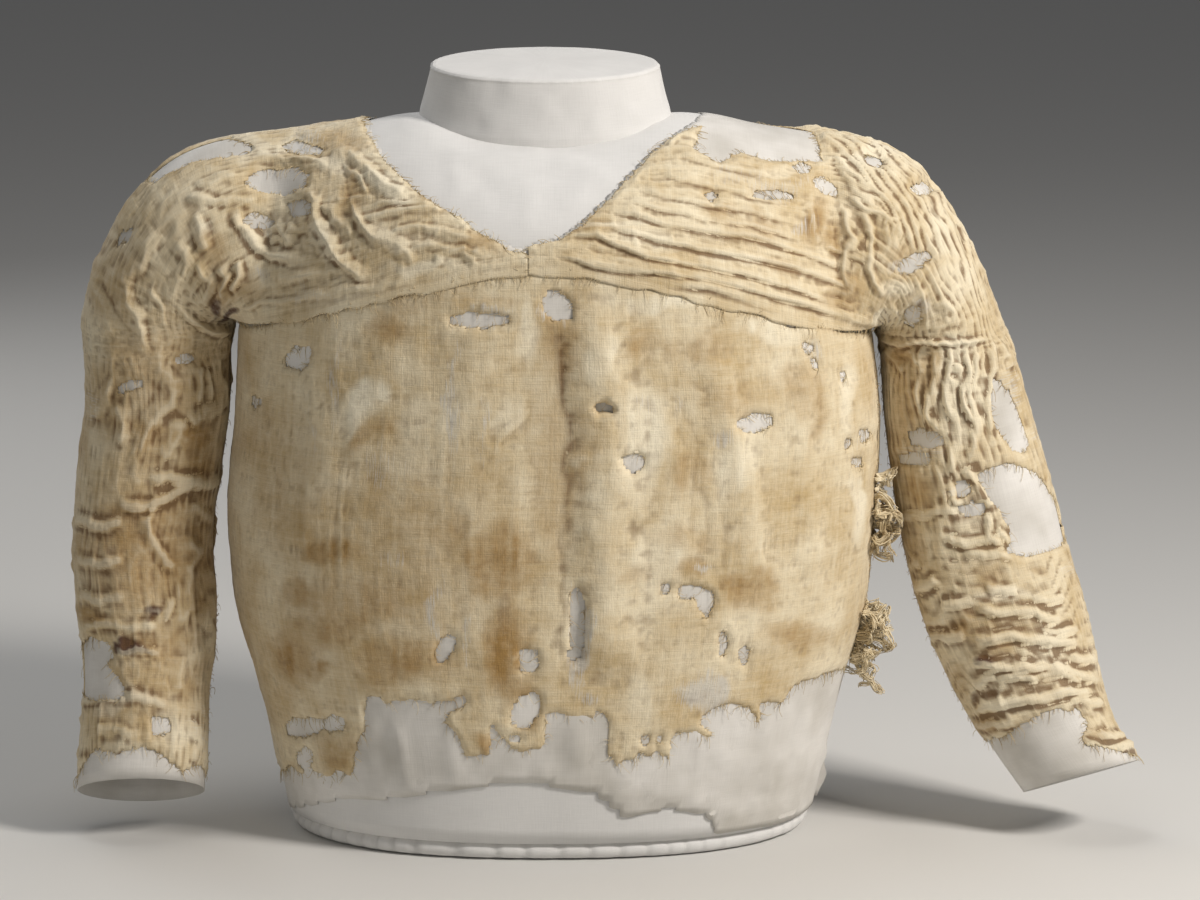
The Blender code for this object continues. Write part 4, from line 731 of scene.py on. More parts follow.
@dataclass
class Sheet:
    """One cloth laid on a surface as a grid, cut along its torn edges, folded, and given its thickness.

    Attributes:
        name: the piece's name.
        surface: the surface of its pattern.
        sign: which way is out.
        along, around: the grid's pattern places, rows by columns.
        keep: how far inside the cloth each point lies, in metres.
        relief: how far the cloth stands out there, in metres.
        thickness: of the cloth, in metres.
        settled: how far a torn edge stands out, in metres.
        settling: how far inside the edge the cloth starts to sink to it, in metres.
        pull: furthest that a corner is drawn onto an edge, in cells.
        edge: filled in by build: a row of place, way out of the edge and way out of the surface for each rim side.
    """

    name: str
    surface: Surface
    sign: int
    along: Array
    around: Array
    keep: Callable[["Spread"], Array]
    relief: Callable[["Spread"], Array]
    thickness: float = 0.0006
    settled: float = 0.0024
    settling: float = 0.006
    pull: float = 0.6
    edge: Array = field(default=None, repr=False)

    def spread(self, along: Array, around: Array) -> "Spread":
        """The pattern places with their points, directions out and places in the photograph's frame."""
        points = self.surface(along, around) + [0, 0, UNDERSIDE]
        out = outward(self.surface, self.sign, along, around)
        return Spread(along, around, points, out)

    def build(self, values: Callable[["Spread", Array], dict[str, Array]]) -> Piece:
        """Cut, fold and mesh the cloth.

        Corners just outside an edge are drawn onto it along the steepest way, and cells with a corner still outside
        are left out. Every corner is then moved out by the relief, which sinks to the cloth below at torn edges.
        The painted fold light of a corner is how far it stands out from the mean of its neighbours, in millimetres;
        the material turns it into a painted highlight on crests and painted shade in creases.

        Args:
            values: gives the numbers that the material reads.

        Returns:
            The finished piece.
        """
        shape = self.along.shape
        inside = self.keep(self.spread(self.along.ravel(), self.around.ravel())).reshape(shape)
        slope_i, slope_j = np.gradient(inside)
        steep = np.maximum(slope_i**2 + slope_j**2, 1e-16)
        move_i, move_j = -inside * slope_i / steep, -inside * slope_j / steep
        drawn = (inside < 0) & (np.hypot(move_i, move_j) < self.pull)
        move_i, move_j = np.where(drawn, move_i, 0), np.where(drawn, move_j, 0)
        along_i, along_j = np.gradient(self.along)
        around_i, around_j = np.gradient(self.around)
        laid = self.spread((self.along + move_i * along_i + move_j * along_j).ravel(),
                           (self.around + move_i * around_i + move_j * around_j).ravel())
        relief = self.relief(laid)
        # Painted fold light: how far a corner stands out of its neighbours, painted as a highlight on crests and as
        # shade in creases
        worn = 1000 * (relief.reshape(shape) - blurred(relief.reshape(shape)))
        hold = eased(inside.ravel() / self.settling)
        relief = relief * hold + self.settled * (1 - hold)
        points = laid.points + laid.out * relief[:, None]
        kept = (inside >= 0) | drawn
        cells = kept[:-1, :-1] & kept[1:, :-1] & kept[1:, 1:] & kept[:-1, 1:]
        outer, others, rim = shell(cells, self.sign < 0)
        run = points[rim[:, 1]] - points[rim[:, 0]]
        away = np.cross(run, laid.out[rim[:, 0]])
        away /= np.maximum(np.linalg.norm(away, axis=1, keepdims=True), 1e-9)
        self.edge = np.concatenate([points[rim].mean(1), away, laid.out[rim[:, 0]]], axis=1)
        used = np.zeros(2 * inside.size, bool)
        used[outer] = True
        used[np.concatenate([np.array(face) for face in others])] = True
        order = np.cumsum(used) - 1
        faces = order[outer].tolist() + [order[face].tolist() for face in others]
        both = np.concatenate([points, points - laid.out * self.thickness])[used]
        given = values(laid, np.maximum(inside.ravel(), 0)) | {"worn": worn.ravel()}
        flat = np.tile(laid.flat, (2, 1))[used]
        return mesh_object(self.name, both, faces, flat,
                           {key: np.tile(value, 2)[used] for key, value in given.items()})


@dataclass
class Spread:
    """Pattern places of a cloth with their points, directions out and places in the photograph's frame."""

    along: Array
    around: Array
    points: Array
    out: Array

    @property
    def front(self) -> Array:
        """Places in the frame of the points as they are."""
        return VIEW.place(self.points)

    @property
    def behind(self) -> Array:
        """Places in the frame of the points mirrored front to back, for what lies on the hidden side."""
        return VIEW.place(self.points * [1, -1, 1])

    @property
    def facing(self) -> Array:
        """How much a point belongs to the front, from 0 to 1."""
        return eased(0.5 - self.out[:, 1] / 0.5)

    @property
    def flat(self) -> Array:
        """Places in the pattern, along and around."""
        return joined(self.along, self.around)

    def in_folds(self, folds: tuple[Fold | Pleats, ...], shift: tuple[float, float]) -> Array:
        """Relief of the front's folds, and on the hidden side of the same ones shifted by pixels, in metres."""
        return np.where(self.facing > 0.5, fold_relief(self.front, folds), fold_relief(self.behind + shift, folds))


# --- materials ---


def linear(hex_colour: str) -> tuple[float, float, float, float]:
    """An sRGB hex colour as linear red, green, blue and alpha."""
    channels = [int(hex_colour[i:i + 2], 16) / 255 for i in (0, 2, 4)]
    return (*(c / 12.92 if c <= 0.04045 else ((c + 0.055) / 1.055) ** 2.4 for c in channels), 1.0)


def add(tree: Tree, kind: str, links: dict[int | str, object] | None = None, **settings: object) -> bpy.types.Node:
    """Add a node with its settings, and its inputs as numbers or as outputs of other nodes."""
    node = tree.nodes.new(kind)
    for key, value in settings.items():
        setattr(node, key, value)
    for key, value in (links or {}).items():
        if isinstance(value, Socket):
            tree.links.new(value, node.inputs[key])
        else:
            node.inputs[key].default_value = value
    return node


def mixed(tree: Tree, share: object, first: object, second: object, way: str = "MIX") -> Socket:
    """Colour between two by a share, or combined with a named way of mixing."""
    node = add(tree, "ShaderNodeMix", {0: share, 6: first, 7: second}, data_type="RGBA", blend_type=way,
               clamp_factor=True)
    return node.outputs[2]


def ranged(tree: Tree, value: object, low: float, high: float, start: float = 0.0, end: float = 1.0) -> Socket:
    """A value stretched from one range to another, held at its ends."""
    node = add(tree, "ShaderNodeMapRange", {0: value, 1: low, 2: high, 3: start, 4: end})
    return node.outputs[0]


def math_of(tree: Tree, way: str, first: object, second: object = 0.0) -> Socket:
    """Two values combined by a named sum."""
    return add(tree, "ShaderNodeMath", {0: first, 1: second}, operation=way).outputs[0]


@dataclass(frozen=True)
class WovenCloth:
    """A plain weave, hand spun and slubby: long thin streaks of noise both ways, which lift and tint the threads.

    Real threads lie about 0.5 mm apart; streaks are drawn 1 to 2 mm wide, the finest that this view can show.

    Attributes:
        name: of the material.
        light, deep: its two colours, as hex.
        thread_mm, slub_mm: width and length of the streaks.
        tint: how much darker a dark thread is.
        bump, roughness, sheen: of the surface, from 0 to 1.
    """

    name: str
    light: str
    deep: str
    thread_mm: float
    slub_mm: float
    tint: float
    bump: float
    roughness: float
    sheen: float

    def streaks(self, tree: Tree) -> tuple[Socket, Socket]:
        """Brightness of threads along the pattern and across it, from noise drawn out to the length of a slub."""
        uv = add(tree, "ShaderNodeUVMap", uv_map="pattern").outputs[0]
        found = []
        for turn in (0, 1):
            fine, long = 1000 / self.thread_mm, 1000 / self.slub_mm
            scale = (long, fine, 1.0) if turn else (fine, long, 1.0)
            place = add(tree, "ShaderNodeMapping", {0: uv, 3: scale}).outputs[0]
            found.append(add(tree, "ShaderNodeTexNoise", {0: place, 2: 1.0, 3: 2.0, 4: 0.6},
                             noise_dimensions="2D").outputs[0])
        return found[0], found[1]

    def begin(self) -> tuple[Material, Socket, Socket]:
        """A new material with the brightness of its threads along the pattern, and of its weave."""
        material = bpy.data.materials.new(self.name)
        material.use_nodes = True
        tree = material.node_tree
        tree.nodes.clear()
        warp, weft = self.streaks(tree)
        return material, warp, math_of(tree, "MULTIPLY", math_of(tree, "ADD", warp, weft), 0.5)

    def finish(self, tree: Tree, colour: Socket, threads: Socket, height: Socket) -> None:
        """Tint the colour by the brightness of its threads, and join it and the threads' height to the surface."""
        grey = add(tree, "ShaderNodeCombineColor", {channel: threads for channel in range(3)}).outputs[0]
        colour = mixed(tree, 1.0, colour, grey, "MULTIPLY")
        bump = add(tree, "ShaderNodeBump", {"Strength": self.bump, "Distance": 0.0008, "Height": height})
        surface = add(tree, "ShaderNodeBsdfPrincipled", {
            "Base Color": colour, "Roughness": self.roughness, "Normal": bump.outputs[0],
            "Sheen Weight": self.sheen, "Sheen Roughness": 0.5, "Specular IOR Level": 0.25})
        out = add(tree, "ShaderNodeOutputMaterial", {0: surface.outputs[0]})
        out.is_active_output = True

    def build(self) -> Material:
        """The cloth's material, plain but for its threads and for what the piece says of its shade."""
        material, _, weave = self.begin()
        tree = material.node_tree
        where = add(tree, "ShaderNodeTexCoord").outputs["Object"]
        cloud = add(tree, "ShaderNodeTexNoise", {0: where, 2: 14.0, 3: 3.0, 4: 0.55}).outputs[0]
        grey = add(tree, "ShaderNodeAttribute", attribute_name="shade").outputs[2]
        tone = math_of(tree, "ADD", ranged(tree, cloud, 0.35, 0.7), grey)
        colour = mixed(tree, tone, linear(self.light), linear(self.deep))
        threads = ranged(tree, weave, 0.3, 0.7, 1.0 - self.tint, 1.0 + self.tint * 0.4)
        self.finish(tree, colour, threads, weave)
        return material


@dataclass(frozen=True)
class AgedLinen(WovenCloth):
    """Plain-woven linen five thousand years old: cream to tan by cloudy noise, with brown and purple-brown stains,
    pale patches that are partly painted highlight, grey strips where threads are gone and the support shows
    through, a painted highlight on crests and painted shade in creases."""

    stain: str = "A5834F"
    dark: str = "5E4638"
    sheer: str = "CFCAC0"
    # Colour of the pale patches, and of the painted highlight on crests
    pale: str = "EFE5CC"
    # Colour of the painted shade in creases
    painted_crease_shade: str = "6E5030"

    def build(self) -> Material:
        """The linen's material, which reads from the cloth its stains, and its painted highlight on crests and
        painted shade in creases.
        """
        material, warp, weave = self.begin()
        tree = material.node_tree
        where = add(tree, "ShaderNodeTexCoord").outputs["Object"]
        cloud = add(tree, "ShaderNodeTexNoise", {0: where, 2: 17.0, 3: 5.0, 4: 0.62}).outputs[0]
        fleck = add(tree, "ShaderNodeTexNoise", {0: where, 2: 160.0, 3: 4.0, 4: 0.7}).outputs[0]
        named = {key: add(tree, "ShaderNodeAttribute", attribute_name=key).outputs[2]
                 for key in ("stain", "dark", "sheer", "pale", "worn")}
        uv = add(tree, "ShaderNodeUVMap", uv_map="pattern").outputs[0]
        bands = [add(tree, "ShaderNodeTexNoise", {
            0: add(tree, "ShaderNodeMapping", {0: uv, 3: scale}).outputs[0], 2: 1.0, 3: 3.0, 4: 0.6},
            noise_dimensions="2D").outputs[0] for scale in ((240.0, 9.0, 1.0), (14.0, 330.0, 1.0))]
        band = math_of(tree, "ADD", bands[0], bands[1])
        share = math_of(tree, "ADD", math_of(tree, "MULTIPLY", cloud, 0.86), math_of(tree, "MULTIPLY", band, 0.14))
        colour = mixed(tree, ranged(tree, share, 0.43, 0.80), linear(self.light), linear(self.deep))
        uneven = ranged(tree, math_of(tree, "ADD", math_of(tree, "MULTIPLY", fleck, 0.45),
                                      math_of(tree, "MULTIPLY", cloud, 0.55)), 0.36, 0.62, -0.20, 0.20)
        for key, hue, least, most in (("pale", self.pale, 0.15, 0.85), ("stain", self.stain, 0.06, 1.05),
                                      ("dark", self.dark, 0.25, 0.75)):
            share = ranged(tree, math_of(tree, "ADD", named[key], math_of(tree, "MULTIPLY", uneven, named[key])),
                           least, most)
            colour = mixed(tree, share, colour, linear(hue))
        gone = math_of(tree, "ADD", named["sheer"], ranged(tree, warp, 0.3, 0.7, -0.35, 0.35))
        colour = mixed(tree, math_of(tree, "MULTIPLY", ranged(tree, gone, 0.35, 0.85), 0.85), colour,
                       linear(self.sheer))
        # Painted highlight on crests and painted shade in creases, both from the painted fold light
        colour = mixed(tree, ranged(tree, named["worn"], 0.08, 0.9, 0.0, 0.38), colour, linear(self.pale))
        colour = mixed(tree, ranged(tree, named["worn"], -0.05, -0.8, 0.0, 0.8), colour, linear(self.painted_crease_shade))
        threads = ranged(tree, weave, 0.32, 0.68, 1.0 - self.tint, 1.0 + self.tint * 0.45)
        self.finish(tree, colour, threads, math_of(tree, "ADD", weave, math_of(tree, "MULTIPLY", fleck, 1.1)))
        return material


@dataclass(frozen=True)
class Finishes:
    """The finishes of the part, made once."""

    linen: Material
    support: Material
    cover: Material
    threads: Material
    fringe: Material


def make_finishes() -> Finishes:
    """Build every finish, each from its name, light and deep colour, thread and slub in millimetres, tint of the
    threads, bump, roughness and sheen."""
    linen = AgedLinen("hand_woven_linen", "E6D9BC", "C0A677", 1.0, 18.0, 0.10, 0.8, 0.92, 0.12)
    threads = WovenCloth("linen_threads", "DECFAC", "B79C6C", 1.5, 12.0, 0.2, 0.4, 0.9, 0.1)
    support = WovenCloth("sheer_support_cloth", "E2DFDA", "C4C0B8", 1.2, 30.0, 0.05, 0.3, 0.85, 0.1)
    cover = WovenCloth("white_cotton_cover", "DFDEDC", "D7D6D4", 1.3, 20.0, 0.04, 0.2, 0.85, 0.1)
    fringe = WovenCloth("matted_weft_ends", "EFE3C6", "D0B98C", 1.5, 12.0, 0.15, 0.4, 0.9, 0.2)
    return Finishes(linen.build(), support.build(), cover.build(), threads.build(), fringe.build())


def dressed(piece: Piece, material: Material, slot: str, *nodes: str) -> Piece:
    """Give a piece its material and body, and hide the CAD nodes that it stands for."""
    piece.data.materials.clear()
    piece.data.materials.append(material)
    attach(piece, "root")
    if nodes:
        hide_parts(*nodes)
    LOG.info("%s: %d corners", piece.name, len(piece.data.vertices))
    return piece


def frayed(name: str, edge: Array, share: float, longest: float, seed: int) -> Piece:
    """Loose threads along torn edges: from the edge they run out of the cloth, swing and droop.

    A thread's path is its start, plus its way out by its length, plus a swing by sine, less a drop by the square.

    Args:
        name: the piece's name.
        edge: rows of place, way out of the edge and way out of the surface.
        share: share of the edge's cells that have a thread.
        longest: length of the longest thread, in metres.
        seed: which threads.

    Returns:
        One object with all the threads.
    """
    # Rings of a thread, corners of a ring, and how far inside the edge a thread starts
    steps, sides, held = 5, 3, 0.0012
    rng = np.random.default_rng(seed)
    edge = edge[rng.random(len(edge)) < share]
    count = len(edge)
    start, away, out = edge[:, :3], edge[:, 3:6], edge[:, 6:]
    run = np.cross(away, out)
    length = longest * (0.25 + 0.75 * rng.random(count) ** 2.5)
    lean = rng.normal(0, 0.45, count)
    t = np.linspace(0, 1, steps)[None, :, None]
    way = away + run * lean[:, None] + out * (0.10 + 0.22 * rng.random(count))[:, None]
    way /= np.linalg.norm(way, axis=1, keepdims=True)
    sway = run * rng.normal(0, 0.22, count)[:, None] + out * rng.normal(0.04, 0.10, count)[:, None]
    paths = (start - away * held)[:, None] + way[:, None] * (length[:, None, None] + held) * t
    paths = paths + sway[:, None] * length[:, None, None] * np.sin(np.pi * t * 0.9)
    paths[..., 2] -= 0.35 * length[:, None] * t[..., 0] ** 2
    radii = (0.00022 + 0.00022 * rng.random(count))[:, None] * (1 - 0.55 * t[..., 0])
    points, faces = strands(paths, radii, sides)
    return mesh_object(name, points, faces, strand_places(count, 0.01, 0.003, steps * sides))


# --- the skirt ---


def torso_surface(along: Array, around: Array) -> Array:
    """The skirt's surface: along in metres of turn at the pattern's pitch, around as height."""
    return TORSO.point(np.asarray(along) / SKIRT_PITCH, np.asarray(around))


def skirt_grid(start: float, front: int, back: int, rows: int, low: float) -> tuple[Array, Array]:
    """Pattern grid once round the torso, just short of the yoke seam and a little lower at the sides.

    Args:
        start: turn of the first column.
        front, back: steps round the front and the back.
        rows: points from the lowest level up.
        low: the lowest level, in metres.

    Returns:
        Places along and around, columns by rows.
    """
    turns = np.concatenate([
        np.linspace(start, np.pi, front, endpoint=False), np.linspace(np.pi, start + 2 * np.pi, back)])
    top = TORSO.seam(TORSO.across(turns)) - 0.0002 - 0.0011 * np.abs(np.cos(turns)) ** 4
    share = np.linspace(0, 1, rows)[None]
    return np.repeat(turns[:, None] * SKIRT_PITCH, rows, axis=1), low + (top[:, None] - low) * share


@dataclass
class Skirt:
    """The linen skirt with its torn hem, and the sheer support cloth under it.

    Attributes:
        lift, lining_lift: how far linen and support cloth lie above the torso, in metres.
        hem: a closed loop in the photograph's frame round all that is torn off the front's lower edge.
        holes: losses of the front, each a closed loop there.
        back_holes: turn in degrees, height and half sizes in metres of losses of the back.
        folds, lining_folds: folds of linen and support cloth.
        lining_hem, lining_hole: the support cloth's lower edge in front, and the gap in it, in the frame.
        stains, pales, greys: patches of colour in the frame, the pale ones partly painted highlight on lit folds.
    """

    lift: float = 0.0044
    lining_lift: float = 0.0016
    hem: tuple[float, ...] = (
        -300, 900, -300, 700, 262, 752, 270, 757, 276, 763, 281, 768, 287, 771, 293, 766, 298, 769, 304, 773, 311,
        767, 318, 770, 325, 776, 333, 777, 338, 768, 344, 771, 352, 776, 356, 768, 356, 755, 359, 742, 362, 736,
        367, 731, 367, 715, 369, 700, 371, 695, 379, 697, 387, 702, 396, 700, 404, 701, 415, 698, 430, 701, 441,
        701, 452, 699, 463, 695, 467, 700, 460, 707, 449, 712, 445, 719, 450, 728, 458, 735, 461, 746, 464, 755,
        473, 757, 480, 752, 489, 753, 492, 742, 490, 731, 493, 726, 500, 735, 508, 743, 516, 749, 523, 751, 532,
        749, 541, 750, 545, 740, 546, 725, 548, 713, 556, 712, 566, 716, 580, 719, 592, 718, 596, 711, 604, 713,
        609, 725, 608, 740, 607, 752, 612, 760, 616, 766, 625, 758, 634, 757, 640, 752, 648, 757, 657, 752, 668,
        758, 672, 748, 669, 740, 676, 733, 690, 731, 703, 735, 713, 735, 706, 727, 700, 720, 706, 712, 716, 706,
        731, 703, 741, 706, 748, 708, 753, 715, 757, 723, 760, 713, 758, 704, 767, 701, 778, 703, 785, 695, 791,
        685, 803, 681, 815, 677, 829, 671, 841, 668, 852, 660, 900, 655, 1500, 640, 1500, 900)
    holes: Rows = (
        (290, 355, 296, 347, 306, 346, 314, 350, 311, 361, 303, 369, 293, 368, 287, 363),
        (288, 724, 296, 717, 310, 717, 322, 719, 334, 715, 345, 718, 345, 728, 334, 731, 322, 729, 310, 735, 298,
         737, 290, 733), (300, 750, 308, 746, 315, 752, 314, 764, 306, 769, 299, 762),
        (437, 652, 441, 640, 449, 634, 458, 637, 454, 648, 447, 659, 439, 660),
        (519, 652, 527, 648, 537, 651, 539, 663, 533, 671, 522, 669),
        (513, 706, 522, 696, 532, 692, 540, 695, 539, 712, 531, 724, 521, 728, 511, 719),
        (506, 736, 514, 733, 522, 737, 514, 742),
        (735, 424, 743, 416, 757, 413, 769, 416, 771, 423, 761, 430, 746, 431),
        (623, 457, 634, 454, 645, 457, 643, 467, 633, 471, 624, 466),
        (676, 588, 689, 584, 703, 588, 712, 592, 712, 604, 706, 615, 698, 609, 694, 598, 680, 597),
        (719, 634, 724, 630, 726, 641, 723, 655, 718, 652), (738, 650, 744, 645, 749, 651, 745, 665, 739, 663),
        (641, 737, 648, 735, 650, 742, 643, 744), (655, 737, 661, 735, 662, 741, 656, 742),
        (450, 317, 470, 312, 492, 314, 510, 317, 508, 324, 488, 327, 466, 326, 452, 323),
        (541, 300, 552, 292, 567, 296, 573, 306, 571, 318, 556, 319, 545, 312),
        (836, 374, 843, 371, 846, 377, 839, 381), (856, 432, 864, 428, 868, 436, 860, 443),
        (842, 441, 849, 438, 850, 445, 844, 448), (849, 460, 856, 457, 860, 463, 853, 469),
        (800, 344, 807, 341, 812, 348, 806, 356), (785, 320, 791, 318, 793, 325, 787, 328),
        (809, 360, 814, 358, 816, 366, 811, 370), (567, 652, 575, 648, 579, 655, 572, 660),
        (660, 585, 668, 583, 671, 590, 663, 593), (595, 406, 606, 403, 611, 408, 600, 411),
        (252, 400, 258, 395, 263, 402, 257, 408), (571, 592, 577, 586, 583, 597, 583, 640, 577, 662, 571, 640))
    back_holes: Rows = (
        (235, 0.420, 0.012, 0.009), (295, 0.330, 0.016, 0.010), (262, 0.230, 0.010, 0.015),
        (285, 0.180, 0.008, 0.010), (225, 0.190, 0.014, 0.008), (312, 0.170, 0.007, 0.010),
        (268, 0.500, 0.012, 0.006), (318, 0.420, 0.006, 0.008), (205, 0.300, 0.006, 0.010),
        (248, 0.355, 0.005, 0.006))
    folds: tuple[Fold | Pleats, ...] = folds_at(
        (10.0, 44, 52, 600, 290, 604, 360, 608, 430, 606, 520, 604, 600, 606, 690),
        (-3.2, 30, 62, 556, 310, 554, 360, 556, 440, 564, 520, 572, 600, 577, 690),
        (2.2, 44, 52, 486, 290, 474, 360, 464, 430, 470, 500, 498, 560),
        (1.0, 20, 18, 546, 520, 554, 580, 548, 640, 545, 740),
        (-0.8, 26, 30, 438, 300, 446, 380, 442, 470, 448, 560, 452, 660),
        (2.0, 36, 30, 400, 330, 372, 400, 352, 470), (2.4, 26, 34, 330, 400, 320, 480, 300, 560),
        (3.4, 26, 26, 700, 330, 728, 420, 742, 500, 752, 600),
        (-1.8, 18, 20, 668, 380, 690, 450, 700, 520, 704, 590),
        (2.4, 16, 20, 812, 350, 800, 420, 812, 500, 806, 600), (0.9, 7, 3, 483, 533, 488, 480, 500, 440, 533, 405),
        (0.8, 3, 7, 536, 396, 560, 394, 596, 402), (0.9, 3, 7, 690, 392, 712, 404, 724, 430),
        (1.0, 8, 4, 838, 512, 850, 535, 862, 552), (0.8, 4, 8, 403, 430, 424, 424, 449, 432),
        (1.0, 16, 20, 690, 560, 716, 600, 724, 650)) + (
        Pleats(0.6, 3.5, 4, 7, (282, 380, 276, 480, 290, 590), (346, 350, 340, 460, 344, 600), 4.0, 11),
        Pleats(0.8, 4, 4, 6, (440, 320, 436, 430, 440, 560), (486, 330, 480, 440, 484, 560), 3.0, 12))
    lining_hem: Rows = (
        (276, 800), (288, 806), (298, 808), (320, 804), (350, 798), (385, 800), (427, 794), (474, 787), (529, 784),
        (560, 788), (592, 793), (612, 809), (626, 822), (640, 829), (660, 836), (690, 838), (720, 833), (750, 828),
        (780, 824), (800, 815), (812, 811), (825, 806))
    lining_hole: tuple[float, ...] = (
        584, 846, 600, 832, 626, 818, 648, 812, 669, 810, 686, 811, 699, 814, 708, 819, 713, 825, 711, 834, 690,
        842, 640, 848)
    lining_folds: tuple[Fold, ...] = folds_at(
        (2.5, 16, 20, 583, 560, 584, 660, 580, 720, 578, 785), (-1.5, 14, 16, 606, 740, 604, 800),
        (3.0, 6, 10, 545, 758, 542, 788), (3.5, 5, 9, 600, 797, 640, 789, 690, 793, 722, 808, 745, 822),
        (2.0, 9, 10, 372, 705, 374, 740, 368, 780), (2.0, 14, 10, 310, 776, 350, 790, 400, 800, 440, 792),
        (3.0, 5, 8, 741, 812, 772, 808, 806, 802), (2.2, 8, 8, 800, 682, 806, 720, 802, 780),
        (9.0, 6, 8, 826, 742, 834, 772, 826, 806), (2.6, 8, 9, 700, 744, 730, 760, 770, 752),
        (2.4, 5, 8, 640, 778, 690, 782, 740, 772, 790, 750), (2.6, 10, 6, 395, 712, 400, 752, 410, 792),
        (2.2, 8, 6, 690, 720, 700, 760, 690, 786), (2.4, 7, 9, 770, 706, 762, 750, 768, 796),
        (2.0, 5, 6, 330, 782, 372, 792, 420, 788, 470, 778), (1.6, 8, 9, 455, 716, 452, 752, 462, 784),
        (1.8, 10, 8, 640, 760, 660, 780, 700, 786))
    stains: tuple[Spot, ...] = spots_at(
        (330, 548, 60, 30, 0.75), (360, 600, 95, 42, 0.6), (295, 655, 40, 55, 0.85), (318, 665, 30, 30, 0.9),
        (410, 660, 90, 42, 0.62), (335, 620, 60, 26, 0.7), (300, 600, 36, 30, 0.6), (500, 560, 42, 60, 0.75),
        (508, 650, 30, 90, 0.85), (520, 700, 26, 42, 0.7), (480, 740, 22, 18, 0.75), (560, 340, 34, 66, 0.6),
        (575, 480, 34, 90, 0.45), (460, 530, 40, 30, 0.5), (420, 300, 60, 24, 0.45), (390, 330, 40, 26, 0.6),
        (380, 440, 44, 18, 0.55, -12), (640, 340, 36, 26, 0.5), (700, 345, 60, 22, 0.45), (730, 390, 60, 26, 0.4),
        (800, 390, 30, 46, 0.45), (812, 420, 18, 40, 0.5), (690, 470, 22, 46, 0.5), (700, 570, 30, 22, 0.6),
        (750, 600, 42, 34, 0.6), (765, 580, 30, 22, 0.55), (790, 640, 60, 30, 0.5), (690, 540, 60, 20, 0.4),
        (640, 570, 30, 16, 0.4), (820, 640, 26, 22, 0.5), (335, 745, 40, 24, 0.55), (480, 310, 50, 14, 0.3),
        (560, 420, 60, 30, 0.35), (270, 430, 22, 60, 0.3), (400, 560, 190, 190, 0.30), (548, 470, 34, 170, 0.40),
        (300, 500, 60, 150, 0.30))
    # Pale patches, partly paler cloth and partly painted highlight where folds face the light
    pales: tuple[Spot, ...] = spots_at(
        (640, 440, 44, 90, 0.8), (660, 560, 44, 60, 0.6), (730, 470, 40, 50, 0.65), (600, 350, 24, 50, 0.6),
        (370, 405, 26, 44, 0.8, 24), (530, 330, 20, 60, 0.7), (505, 420, 34, 40, 0.55), (660, 300, 80, 16, 0.7),
        (770, 330, 60, 20, 0.6), (640, 700, 30, 50, 0.5), (850, 500, 14, 60, 0.8), (845, 400, 16, 60, 0.6),
        (420, 420, 30, 50, 0.4), (330, 290, 60, 8, 0.5), (600, 740, 20, 16, 0.6), (450, 610, 18, 34, 0.3))
    greys: tuple[Spot, ...] = spots_at(
        (576, 640, 20, 76, 1.0), (452, 400, 10, 90, 0.62), (478, 430, 7, 70, 0.5), (345, 380, 9, 70, 0.45),
        (320, 430, 6, 60, 0.4), (440, 620, 10, 70, 0.6), (474, 640, 8, 60, 0.5), (390, 470, 26, 30, 0.35),
        (630, 460, 14, 10, 0.6), (700, 690, 34, 26, 1.0), (712, 572, 20, 10, 0.7), (640, 400, 18, 26, 0.3),
        (680, 400, 8, 22, 0.4), (806, 350, 10, 24, 0.5), (857, 440, 10, 30, 0.3), (400, 560, 40, 18, 0.3),
        (556, 312, 24, 12, 0.7), (480, 320, 34, 8, 0.6), (722, 430, 20, 16, 0.5), (640, 740, 12, 6, 0.5),
        (585, 700, 14, 14, 0.7), (340, 720, 30, 8, 0.4))

    def back_hem(self, turn: Array) -> Array:
        """Height of the back's torn hem: straight from side to side, with slow swells and ragged teeth."""
        share = (turn - np.pi) / (np.pi + JOIN_TURN)
        run = 0.056 + (0.150 - 0.056) * eased(share * 1.05)
        swell = 0.026 * np.sin(9.0 * share) * np.sin(np.pi * np.clip(share, 0, 1))
        return run + swell + 0.010 * ragged(joined(turn * 9, 0), 1.0, 31)

    def keep(self, spread: Spread) -> Array:
        """How far inside the torn skirt each point lies: the nearest of the hem and the holes, made ragged."""
        turn = spread.along / SKIRT_PITCH
        place = spread.front
        rough = ragged(spread.flat, 0.0055, 21)
        front = turn < np.pi
        inside = np.where(front, 0.0, spread.around - self.back_hem(turn))
        inside[front] = -signed_distance(place[front], pairs(self.hem)) * PIXEL
        inside = cut_loops(inside, place, front, self.holes, 90)
        for degrees, height, wide, high in self.back_holes:
            across = (turn - math.radians(degrees)) * SKIRT_PITCH
            past = past_oval(across, spread.around - height, wide, high)
            inside = np.minimum(inside, np.where(front, 1, past))
        return inside + 0.0024 * rough

    def folded(self, spread: Spread) -> Array:
        """How far the linen stands out: its folds, a slow swell and fine crumpling, all low under the yokes."""
        flat = spread.flat
        fold = spread.in_folds(self.folds, (26, 0)) * eased(np.abs(spread.facing - 0.5) / 0.2)
        swell = 0.0016 * (noise(flat / [0.05, 0.11], 41) - 0.5)
        crumple = 0.0012 * (ridged(flat / [0.024, 0.036], 43) - 0.5) + 0.0005 * (ridged(flat / 0.007, 44) - 0.5)
        top = TORSO.seam(TORSO.across(spread.along / SKIRT_PITCH)) - spread.around
        hold = eased(top / 0.03)
        under = -0.0012 * (1 - eased(top / 0.008))
        return self.lift + under + np.maximum(fold * hold + (swell + crumple) * (0.3 + 0.7 * hold), -0.0016)

